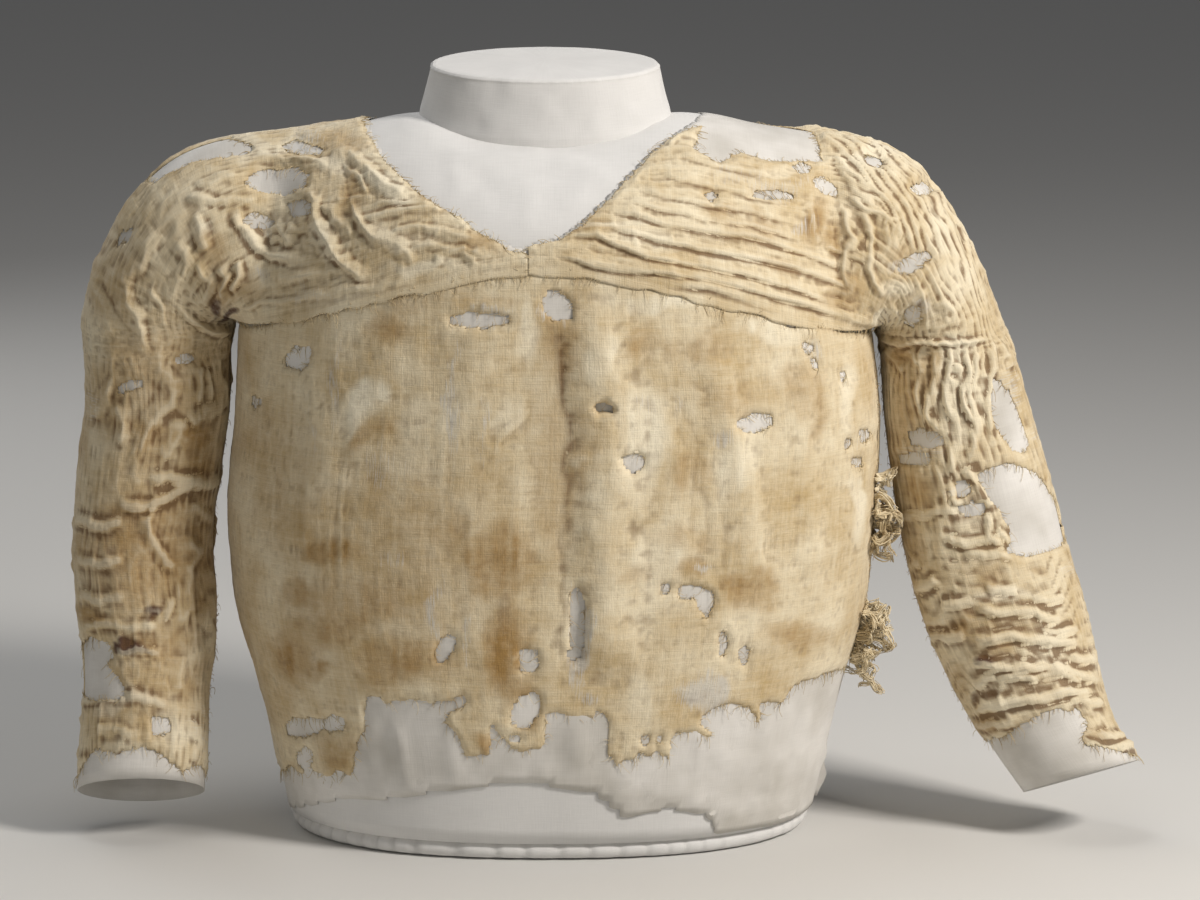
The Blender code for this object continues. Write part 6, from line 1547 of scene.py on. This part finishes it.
def left_yoke_sleeve() -> YokeSleeve:
    """The wearer's left yoke and sleeve, right in the photograph: knife pleats, with a slanting arm."""
    return YokeSleeve(
        side=Side.LEFT,
        support_nodes=("lining_yoke_left", "lining_upper_sleeve_left", "lining_forearm_left"),
        neck=(
            (-0.0205, 5), (-0.006, 13), (0.008, 14), (0.031, 22), (0.054, 34), (0.074, 45), (0.094, 56),
            (0.116, 66), (0.140, 74), (0.130, 58), (0.152, 52), (0.172, 60), (0.200, 58), (0.246, 62), (0.240, 90),
            (0.205, 104), (0.168, 112), (0.140, 124), (0.085, 140), (0.030, 153), (-0.0205, 161)),
        support_neck=(
            (-0.0205, 5), (0.005, 14), (0.028, 23), (0.048, 33), (0.068, 44), (0.088, 55), (0.112, 66), (0.132, 78),
            (0.140, 92), (0.135, 108), (0.115, 122), (0.080, 137), (0.030, 150), (-0.0205, 158)),
        cuff=(
            (1.50, 0.0), (1.45, 0.10), (1.65, 0.18), (1.40, 0.25), (0.70, 0.30), (0.45, 0.36), (0.12, 0.43),
            (0.08, 0.50), (0.20, 0.58), (0.50, 0.66), (0.60, 0.75), (0.90, 0.82), (1.30, 0.90), (1.50, 1.0)),
        losses=(
            (747, 199, 756, 193, 768, 191, 784, 193, 795, 199, 782, 201, 764, 200),
            (812, 180, 820, 178, 830, 184, 838, 192, 834, 199, 824, 195, 815, 188),
            (790, 169, 800, 164, 811, 168, 808, 175, 798, 174), (862, 158, 870, 157, 882, 164, 878, 169, 868, 166),
            (908, 189, 920, 184, 932, 190, 926, 196, 914, 196), (703, 196, 712, 193, 718, 198, 710, 204),
            (898, 262, 912, 254, 926, 252, 930, 258, 918, 268, 906, 274, 898, 270),
            (905, 312, 912, 304, 920, 306, 922, 318, 914, 326, 906, 322),
            (909, 434, 920, 428, 934, 432, 948, 440, 944, 446, 928, 447, 912, 444),
            (900, 456, 914, 453, 930, 455, 936, 460, 918, 464, 902, 464), (992, 380, 1000, 384, 1008, 396, 1018,
             420, 1026, 446, 1022, 452, 1010, 450, 1000, 436, 992, 424, 990, 400),
            (976, 474, 990, 468, 1006, 464, 1024, 468, 1040, 480, 1052, 500, 1060, 524, 1062, 542, 1048, 552,
             1026, 556, 1006, 552, 1012, 540, 1004, 520, 996, 506, 984, 490),
            (958, 509, 972, 502, 984, 504, 986, 512, 970, 517), (956, 482, 966, 480, 972, 490, 964, 498, 958, 494),
            (1010, 737, 1022, 726, 1036, 716, 1056, 710, 1076, 711, 1086, 722, 1082, 738, 1084, 752, 1100, 762,
             1120, 769, 1100, 776, 1070, 780, 1040, 784, 1010, 770, 996, 752)),
        back_losses=(
            (11.0, 0.66, 0.016, 0.010), (22.5, 0.74, 0.014, 0.012), (6.0, 0.74, 0.012, 0.008),
            (16.5, 0.80, 0.010, 0.008)),
        folds=folds_at(
            # Yoke: long knife pleats from the neck edge down to the armpit, each with its shadow below
            (2.2, 13, 3, 676, 158, 700, 164, 730, 172, 770, 180),
            (2.4, 13, 3, 655, 176, 690, 184, 730, 193, 790, 206),
            (2.8, 14, 3, 636, 192, 668, 199, 704, 207, 740, 212, 800, 226),
            (3.0, 13, 3, 618, 202, 650, 210, 700, 221, 750, 229, 806, 244),
            (4.2, 15, 3, 604, 212, 640, 219, 670, 228, 704, 232, 739, 237, 764, 243, 789, 251, 820, 262, 850, 272),
            (4.4, 14, 3, 593, 223, 623, 234, 660, 242, 695, 250, 726, 255, 757, 262, 790, 268, 826, 280, 862, 292),
            (4.8, 15, 3, 560, 236, 595, 237, 620, 247, 645, 259, 676, 263, 707, 268, 736, 274, 764, 281, 801, 293,
             834, 309), (5.2, 15, 3, 546, 252, 576, 259, 595, 268, 624, 271, 654, 273, 695, 278, 739, 287, 786,
             301, 817, 310, 853, 323),
            (4.6, 12, 3, 620, 280, 650, 285, 707, 288, 739, 298, 776, 313, 806, 320, 838, 330),
            (2.8, 10, 3, 556, 268, 590, 278, 630, 284, 680, 292), (3.2, 10, 3, 820, 246, 842, 254, 870, 264),
            (5.0, 9, 4, 818, 310, 838, 316, 858, 320, 880, 320), (2.4, 6, 3, 664, 150, 680, 142, 700, 140),
            (2.6, 6, 3, 546, 236, 560, 230, 580, 226), (2.0, 4, 4, 806, 200, 812, 220, 810, 244),
            (-1.4, 4, 8, 826, 208, 834, 240, 838, 276),
            # Shoulder: fine wavy pleats that curve down the arm
            (4.4, 6, 4, 826, 160, 850, 176, 872, 190, 890, 214, 906, 222),
            (4.4, 6, 4, 852, 196, 868, 216, 888, 224, 900, 220),
            (3.6, 5, 5, 860, 206, 872, 240, 868, 270, 878, 296),
            (4.0, 6, 6, 842, 206, 850, 240, 844, 270, 850, 296),
            (3.6, 7, 5, 884, 300, 896, 310, 914, 300, 926, 286), (3.4, 6, 6, 932, 300, 946, 310, 952, 326),
            # Upper arm: the fold line across, then upright pleats, then a smooth tan strip inside
            (4.8, 4, 4, 878, 333, 900, 340, 917, 342, 948, 343, 972, 341, 990, 338),
            (4.4, 5, 4, 940, 347, 939, 362, 938, 377, 932, 396, 930, 414, 940, 430, 954, 443, 956, 459, 948, 477),
            (4.6, 6, 3, 966, 343, 964, 369, 962, 386, 964, 406, 972, 422, 974, 443, 972, 465),
            (4.4, 5, 3, 989, 341, 991, 361, 985, 392, 984, 414, 986, 437),
            (4.0, 5, 3, 978, 344, 972, 362, 968, 378, 970, 398, 970, 414, 980, 432),
            (3.8, 5, 3, 952, 346, 950, 370, 946, 388, 948, 410, 956, 424),
            (3.2, 4, 3, 926, 344, 924, 364, 920, 384, 924, 404, 926, 420),
            (3.0, 5, 3, 996, 344, 1004, 356, 1012, 368), (3.4, 4, 4, 944, 360, 956, 366, 948, 378, 958, 388),
            (3.4, 5, 4, 888, 346, 898, 356, 906, 368), (3.0, 5, 5, 912, 346, 920, 360, 926, 370),
            (4.6, 5, 5, 962, 470, 976, 478, 984, 490, 992, 504),
            (4.4, 6, 4, 944, 480, 954, 488, 950, 500, 962, 504),
            (3.6, 5, 4, 900, 516, 924, 514, 948, 510, 972, 505, 1000, 500),
            (3.8, 6, 4, 938, 520, 944, 536, 960, 542, 988, 540, 1006, 546),
            (3.2, 4, 4, 984, 510, 988, 530, 986, 548), (3.2, 5, 4, 968, 548, 988, 556, 1010, 554),
            (3.0, 5, 5, 996, 528, 1010, 540, 1022, 548),
            (2.4, 6, 6, 938, 440, 940, 470, 944, 500, 942, 540, 944, 570),
            # Forearm: folds across
            (3.4, 8, 4, 914, 592, 928, 586, 942, 578), (3.0, 7, 4, 985, 588, 1000, 590, 1016, 590),
            (4.4, 10, 4, 974, 609, 997, 614, 1014, 612, 1031, 614, 1046, 622, 1064, 624),
            (5.4, 10, 4, 975, 645, 985, 641, 1010, 637, 1031, 641, 1048, 643, 1080, 646),
            (5.6, 8, 4, 964, 660, 980, 664, 997, 666, 1031, 666, 1060, 668, 1082, 675, 1100, 680),
            (5.0, 7, 4, 996, 684, 1006, 677, 1025, 675, 1060, 675, 1082, 681),
            (5.2, 8, 4, 974, 712, 990, 705, 1010, 702, 1039, 700, 1062, 696, 1090, 690),
            (3.6, 6, 5, 980, 690, 992, 680, 1000, 676), (3.2, 7, 5, 920, 616, 936, 622, 950, 616),
            (3.4, 7, 4, 930, 634, 950, 640, 970, 636), (3.2, 6, 4, 940, 602, 960, 606, 976, 602),
            (4.2, 6, 5, 1066, 700, 1084, 704, 1100, 700), (4.0, 6, 4, 1068, 652, 1082, 660, 1092, 656),
            (3.4, 6, 5, 960, 730, 976, 726, 1000, 722, 1016, 716),
            (4.8, 6, 5, 1086, 742, 1104, 750, 1124, 750, 1146, 742), (3.6, 5, 4, 1096, 730, 1110, 738, 1124, 740),
            (3.0, 6, 5, 900, 560, 912, 566, 926, 560), (3.4, 6, 4, 1030, 596, 1050, 600, 1066, 596),
            (3.4, 6, 4, 1040, 632, 1058, 634, 1078, 632)) + (
            Pleats(3.8, 8, 3, 9, (806, 134, 838, 150, 866, 176, 884, 204, 896, 236, 902, 262), (872, 128, 908,
             156, 940, 196, 966, 240, 984, 284, 994, 322), 3.4, 21), Pleats(3.0, 5, 3, 5, (870, 196, 884, 220,
             892, 246, 900, 262), (820, 150, 846, 176, 868, 206, 880, 236), 2.6, 22)),
        stains=spots_at(
            (960, 620, 40, 20, 0.7), (980, 580, 30, 26, 0.4), (1000, 640, 30, 14, 0.55), (990, 720, 28, 20, 0.75),
            (960, 680, 26, 30, 0.4), (820, 225, 18, 26, 0.75), (840, 240, 16, 30, 0.6), (760, 226, 50, 20, 0.5),
            (720, 215, 40, 12, 0.5), (780, 262, 40, 12, 0.5), (590, 236, 40, 10, 0.35), (905, 430, 24, 90, 0.45),
            (900, 350, 26, 24, 0.6), (930, 370, 26, 30, 0.5), (910, 540, 30, 34, 0.4), (900, 250, 20, 22, 0.3),
            (1120, 752, 34, 12, 0.6), (1096, 730, 20, 14, 0.5), (1030, 668, 40, 12, 0.3), (930, 490, 24, 30, 0.5),
            (840, 290, 30, 14, 0.5), (1040, 570, 30, 10, 0.4)),
        darks=spots_at(
            (988, 651, 20, 10, 0.9), (1000, 690, 14, 10, 0.6), (1010, 650, 20, 6, 0.6), (985, 690, 12, 12, 0.6),
            (1026, 568, 8, 6, 0.4)),
        # Pale patches, partly paler cloth and partly painted highlight where folds face the light
        pales=spots_at(
            (640, 250, 60, 16, 0.6), (740, 262, 60, 12, 0.6), (880, 160, 50, 24, 0.7), (940, 230, 26, 50, 0.65),
            (960, 360, 26, 40, 0.7), (900, 290, 30, 20, 0.6), (1000, 600, 50, 16, 0.65), (1050, 650, 40, 40, 0.6),
            (620, 232, 50, 10, 0.6), (960, 400, 30, 60, 0.6), (970, 520, 20, 24, 0.6), (1010, 700, 30, 10, 0.6),
            (780, 170, 40, 12, 0.5), (880, 320, 30, 8, 0.8), (1120, 740, 30, 10, 0.6), (950, 280, 40, 30, 0.5)),
        greys=spots_at(
            (812, 225, 16, 14, 0.6), (912, 310, 18, 16, 0.7), (905, 265, 22, 14, 0.7), (740, 178, 60, 20, 0.4),
            (960, 490, 12, 14, 0.6), (780, 190, 50, 20, 0.5), (1000, 400, 14, 50, 0.6), (1040, 420, 14, 40, 0.8),
            (1070, 540, 14, 40, 0.7), (930, 445, 34, 12, 0.6), (1060, 690, 30, 16, 0.4), (1020, 745, 30, 20, 0.7)),
        arm_wrinkle=0.0011,
    )


# --- the padded form ---


@dataclass
class PaddedForm:
    """The limbless white form: padded torso with closed armholes, neck stub, and gathered roll round its base.

    Attributes:
        ease: how far the form stays inside the cloth's surface.
        armhole, side_end: shares of the half width where the armhole starts and where the side closes.
        columns, wall_rows, arch_rows: loops across the torso, and points of a loop up a wall and over the shoulder.
        roll_step, roll_room: height and depth of the step that holds the roll.
        folds, fold_share: creases of the cover, and how much of their rise they keep.
        neck: profile of the stub from inside the shoulders up: height, half width and half depth.
        neck_x, neck_slope_deg: the stub's middle, and how far it tips forward.
        rim, rim_spread: height of the stub's sewn rim, and how far it fades up and down.
        stub_rings, stub_corners, roll_rings, roll_corners: the meshes of stub and roll.
        roll_radius, roll_height, roll_floor: the roll's radius, the height of its middle, and its lowest level.
    """

    ease: float = 0.0003
    armhole: float = 0.88
    side_end: float = 0.9995
    columns: int = 150
    wall_rows: int = 40
    arch_rows: int = 60
    roll_step: float = 0.0108
    roll_room: float = 0.0205
    rim: float = 0.7050
    rim_spread: float = 0.0016
    stub_rings: int = 92
    stub_corners: int = 160
    roll_rings: int = 720
    roll_corners: int = 14
    roll_radius: float = 0.0084
    roll_height: float = 0.0088
    roll_floor: float = 0.0012
    fold_share: float = 0.8
    neck: Rows = (
        (0.600, 0.1120, 0.0780), (0.630, 0.1160, 0.0815), (0.648, 0.1172, 0.0828), (0.655, 0.1168, 0.0824),
        (0.668, 0.1135, 0.0796), (0.690, 0.1082, 0.0753), (0.7005, 0.1056, 0.0732), (0.7045, 0.1046, 0.0724),
        (0.7068, 0.1030, 0.0710), (0.7074, 0.1004, 0.0686), (0.7078, 0.0900, 0.0610), (0.7090, 0.0600, 0.0400),
        (0.7096, 0.0250, 0.0165), (0.7097, 0.0010, 0.0007))
    neck_x: float = -0.005
    neck_slope_deg: float = 6.0
    folds: tuple[Fold, ...] = folds_at(
        (2.6, 10, 16, 430, 150, 470, 156, 503, 154, 540, 153, 575, 162, 612, 181, 640, 196),
        (1.8, 14, 14, 455, 152, 452, 172, 460, 196), (-1.6, 10, 12, 480, 168, 492, 190, 500, 214),
        (1.6, 12, 14, 520, 176, 530, 200, 528, 232), (1.4, 10, 12, 590, 172, 580, 196, 562, 214),
        (1.4, 10, 10, 640, 120, 664, 134, 690, 136), (1.4, 10, 12, 394, 118, 420, 130, 440, 138))

    def torso(self) -> Piece:
        """The padded torso: each section across is a loop up the front wall, over the shoulder and down the back.

        Beyond the armholes the arch shrinks as the root of one less the square of the way to the side, and the
        loops close on a line at each side.
        """
        inner = np.sin(np.linspace(-1, 1, self.columns) * np.pi / 2)
        share = (inner * self.side_end)[:, None]
        edge = np.clip((np.abs(share) - self.armhole) / (1 - self.armhole), 0, 1)
        shrink = np.sqrt(1 - edge**2)
        rise = TORSO.arch(np.clip(share, -self.armhole, self.armhole))[3]
        foot = TORSO.seam(share)
        half_width, full_depth, middle = TORSO.size(foot)
        half_depth = full_depth * TORSO.depth_share(share)
        angle = np.linspace(0, np.pi, self.arch_rows)[None]
        ease = self.ease
        arch = joined(
            middle + half_width * share, -(half_depth - ease) * np.cos(angle),
            foot + (rise * shrink - ease) * np.sin(angle))
        levels = np.linspace(0, 1, self.wall_rows)[None, :-1]
        height = self.roll_step + (foot - self.roll_step) * levels
        wide, deep, mid = TORSO.size(height)
        near = -(deep * TORSO.depth_share(share) - ease)
        wall = joined(mid + wide * share, near, height)
        wide, deep, mid = TORSO.size(np.zeros_like(share))
        step = 1 - self.roll_room / deep
        low = joined(mid + wide * share * (1 - self.roll_room / wide), -deep * TORSO.depth_share(share) * step, 0)
        foot_ring = np.concatenate([low - [0, 0, UNDERSIDE], low + [0, 0, self.roll_step]], axis=1)
        back = [part[:, ::-1] * [1, -1, 1] for part in (wall, foot_ring)]
        loops = np.concatenate([foot_ring, wall, arch, back[0], back[1]], axis=1)
        points = loops.reshape(-1, 3) + [0, 0, UNDERSIDE]
        place = VIEW.place(points)
        # The cover is creased in front of and above these, away from a point at this height inside the form
        front_of, above, middle_height = -0.02, 0.5, 0.45
        shown = (points[:, 1] < front_of) & (points[:, 2] > above)
        out = points - [0, 0, middle_height]
        out /= np.linalg.norm(out, axis=1, keepdims=True)
        points = points + out * np.where(shown, fold_relief(place, self.folds), 0)[:, None] * self.fold_share
        faces = ring_faces(*loops.shape[:2])
        return mesh_object("padded_form", points, faces, points[:, [0, 2]], {"shade": np.zeros(len(points))})

    def stub(self) -> Piece:
        """The neck stub: rings of a profile, tipped forward, with a sewn rim, a slack top and faint puckers."""
        profile = np.array(self.neck)
        fine = np.linspace(0, len(profile) - 1, self.stub_rings)
        height, wide, deep = (np.interp(fine, np.arange(len(profile)), profile[:, k])[:, None] for k in range(3))
        angle = np.linspace(0, 2 * np.pi, self.stub_corners, endpoint=False)[None]
        rim = np.exp(-((height - self.rim) / self.rim_spread) ** 2) * (wide > 0.09)
        side = eased((height - 0.640) / 0.02) * (wide > 0.10)
        turn = joined(angle * 7, height * 60)
        pucker = 0.0006 * rim * np.sin(angle * 62 + 5 * np.sin(angle * 3)) + 0.0016 * side * (noise(turn, 8) - 0.5)
        lap = 0.0007 * rim
        x = self.neck_x + (wide + pucker + lap) * np.cos(angle)
        y = (deep + pucker + lap) * np.sin(angle)
        top = (wide < 0.0995) * 0.0012 * (noise(joined(x * 40, y * 24), 12) - 0.5)
        slope = math.tan(math.radians(self.neck_slope_deg)) * eased((height - 0.61) / 0.02)
        z = height + slope * y + top + UNDERSIDE
        rings = joined(x, y, z)
        faces = ring_faces(*rings.shape[:2], flip=True)
        points = rings.reshape(-1, 3)
        shade = 0.5 * spots(VIEW.place(points), spots_at((580, 100, 24, 34), (560, 84, 60, 6, 0.6)))
        uv = joined(angle * 0.11, height).reshape(-1, 2)
        return mesh_object("form_neck_stub", points, faces, uv, {"shade": shade * (points[:, 1] < 0)})

    def roll(self) -> Piece:
        """The gathered roll: a tube carried round the base, pinched where the cover is gathered.

        The pinch is a row of narrow dips at uneven steps, deepest on the wearer's right, shallow on the left.
        """
        turns = np.linspace(0, 2 * np.pi, self.roll_rings, endpoint=False)
        wall = TORSO.point(turns, np.zeros(len(turns)))
        flat = wall[:, :2] / np.linalg.norm(wall[:, :2], axis=1)[:, None]
        step = turns * 30 + 1.4 * np.sin(turns * 5) + 0.7 * np.sin(turns * 11 + 1)
        dip = np.abs(np.cos(step)) ** 9
        strength = 0.0026 * (0.6 - 0.4 * np.cos(turns))
        angle = (2 * np.pi * np.arange(self.roll_corners) / self.roll_corners)[None]
        outer = eased(0.5 + np.cos(angle - 0.7) * 0.6)
        radius = self.roll_radius - (dip * strength)[:, None] * outer
        radius = radius + 0.0006 * (noise(joined(turns * 12, 0), 17) - 0.5)[:, None]
        reach = radius * np.cos(angle) - 0.0085
        points = joined(
            wall[:, :1] + flat[:, :1] * reach, wall[:, 1:2] + flat[:, 1:] * reach,
            self.roll_height + radius * np.sin(angle) * 0.94)
        points[..., 2] = np.maximum(points[..., 2], self.roll_floor)
        faces = ring_faces(self.roll_rings, self.roll_corners, closed=True)
        uv = joined(turns[:, None] * 0.22, angle * 0.008).reshape(-1, 2)
        return mesh_object("form_gathered_roll", points.reshape(-1, 3), faces, uv,
                           {"shade": 1.6 * np.repeat(dip, self.roll_corners)})

    def build(self, finishes: Finishes) -> list[Piece]:
        """Make the form's torso, neck stub and gathered roll."""
        torso, stub, roll = self.torso(), self.stub(), self.roll()
        dressed(torso, finishes.cover, "padded_cover", "form")
        dressed(stub, finishes.cover, "padded_cover")
        dressed(roll, finishes.cover, "padded_cover", "form_base_roll")
        return [torso, stub, roll]


# --- the weft fringe ---


@dataclass
class WeftFringe:
    """Weft ends that hang out of the skirt's side join, matted into flat locks that curl and loop.

    Attributes:
        clumps: height of the middle, half height, reach out and drop in metres, and number of locks.
        ends: weft ends in a lock.
        thickness: radius of a thick end at its root, in metres.
        furthest: where the fringe stops towards the wearer's left, as its solid does.
        steps, sides: rings of an end, and corners of a ring.
    """

    clumps: Rows = (
        (0.322, 0.010, 0.011, 0.006, 6), (0.296, 0.014, 0.019, 0.012, 14), (0.272, 0.012, 0.015, 0.010, 8),
        (0.204, 0.008, 0.017, 0.010, 9), (0.184, 0.010, 0.022, 0.012, 14), (0.162, 0.009, 0.017, 0.020, 12))
    ends: int = 9
    thickness: float = 0.0008
    furthest: float = 0.326
    steps: int = 25
    sides: int = 4

    def build(self, finishes: Finishes) -> list[Piece]:
        """Make the fringe: every lock starts at the join, runs out and back by a sine, and sinks by the square.

        Three sines of rising speed and random phase, each lower than the last, curl it on every axis. The ends of a
        lock run side by side, each with a little of its own, and spread towards the tip.
        """
        rng = np.random.default_rng(7)
        rows = np.array(self.clumps)
        clump = rows[np.repeat(np.arange(len(rows)), rows[:, 4].astype(int))]
        locks = len(clump)

        def each(values: Array, own: float) -> Array:
            """Values of the locks for each of their ends, with a normal spread of the ends' own."""
            values = np.repeat(values, self.ends, axis=0)
            return values + rng.normal(0, own, values.shape)

        height = each(clump[:, 1] * rng.uniform(-1, 1, locks) + clump[:, 0], 0.0012)
        turn = each(JOIN_TURN + rng.normal(0.004, 0.016, locks), 0.003)
        out = outward(torso_surface, -1, turn * SKIRT_PITCH, height)
        start = TORSO.point(turn, height) + [0, 0, UNDERSIDE] + out * (0.0042 + 0.001 * rng.random((len(turn), 1)))
        t = np.linspace(0, 1, self.steps)[None, :, None]
        back = each(0.55 + 0.45 * rng.random((locks, 1, 1)), 0.02)
        reach = each(clump[:, 2] * (0.40 + 0.60 * rng.random(locks)), 0.0008)[:, None, None]
        way = (out + each(rng.normal(0, 0.26, (locks, 3)), 0.03))[:, None]
        paths = start[:, None] + way * reach * np.sin(np.pi * t * back)
        for speed, size in ((1.1, 0.34), (2.3, 0.17), (4.6, 0.07)):
            phase = each(rng.random((locks, 1, 3)) * 2 * np.pi, 0.16)
            pace = each(speed * (0.7 + 0.6 * rng.random((locks, 1, 1))), 0.02)
            wave = np.sin(2 * np.pi * pace * t + phase) - np.sin(phase)
            paths = paths + size * reach * wave * np.minimum(3 * t, 1)
        paths[..., 2] -= each(clump[:, 3] * rng.random(locks), 0.0008)[:, None] * t[..., 0] ** 2
        paths[..., 0] = self.furthest - 0.002 * np.logaddexp(0, (self.furthest - paths[..., 0]) / 0.002)
        radii = self.thickness * (0.6 + 0.5 * rng.random(len(turn)))[:, None] * (1 - 0.5 * t[..., 0])
        points, faces = strands(paths, radii, self.sides)
        places = strand_places(len(turn), 0.02, 0.01, self.steps * self.sides)
        fringe = mesh_object("matted_weft_fringe", points, faces, places)
        dressed(fringe, finishes.fringe, "aged_linen", "weft_fringe")
        return [fringe]


# --- the stage ---


@dataclass
class Studio:
    """Plain pale floor and soft studio light, the key from the right front as in the photograph."""

    floor_colour: str = "D9D8D5"
    floor_size: float = 40.0

    def lamp(self, name: str, where: tuple[float, float, float], size: float, watts: float, hue: str) -> None:
        """A square soft light that faces the dress."""
        data = bpy.data.lights.new(name, "AREA")
        data.shape, data.size, data.energy = "SQUARE", size, watts
        data.color = linear(hue)[:3]
        lamp = bpy.data.objects.new(name, data)
        lamp.location = where
        lamp.rotation_mode = "QUATERNION"
        lamp.rotation_quaternion = (Vector((0, 0, 0.35)) - Vector(where)).to_track_quat("-Z", "Y")
        bpy.context.scene.collection.objects.link(lamp)

    def build(self) -> None:
        """Make the floor, the lights and the soft surround."""
        half = self.floor_size / 2
        corners = np.array([(-half, -half, 0), (half, -half, 0), (half, half, 0), (-half, half, 0)], float)
        floor = mesh_object("floor", corners, [(0, 1, 2, 3)])
        material = bpy.data.materials.new("matt_floor_paint")
        material.use_nodes = True
        shader = material.node_tree.nodes["Principled BSDF"]
        shader.inputs["Base Color"].default_value = linear(self.floor_colour)
        shader.inputs["Roughness"].default_value = 0.9
        floor.data.materials.append(material)
        self.lamp("key_light", (2.2, -1.5, 2.2), 0.7, 92.0, "FFF9F2")
        self.lamp("fill_light", (-2.2, -2.6, 1.3), 2.0, 11.0, "F6F2E8")
        self.lamp("top_light", (-0.3, 0.3, 2.8), 1.2, 16.0, "FFFFFF")
        self.lamp("back_light", (-1.6, 2.2, 1.6), 1.4, 10.0, "FFFFFF")
        world = bpy.data.worlds.new("soft_surround")
        world.use_nodes = True
        world.node_tree.nodes["Background"].inputs[0].default_value = linear("E8E9EC")
        world.node_tree.nodes["Background"].inputs[1].default_value = 0.13
        bpy.context.scene.world = world
        # Colours show as they are named, with no film curve over them
        bpy.context.scene.view_settings.view_transform = "Standard"


def main() -> None:
    """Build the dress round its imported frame, piece by piece."""
    logging.basicConfig(level=logging.INFO, format="%(message)s")
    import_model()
    VIEW.build()
    Studio().build()
    finishes = make_finishes()
    makers = (PaddedForm(), Skirt(), right_yoke_sleeve(), left_yoke_sleeve(), WeftFringe())
    for maker in makers:
        for piece in maker.build(finishes):
            LOG.info("made %s", piece.name)


if __name__ == "__main__":
    main()
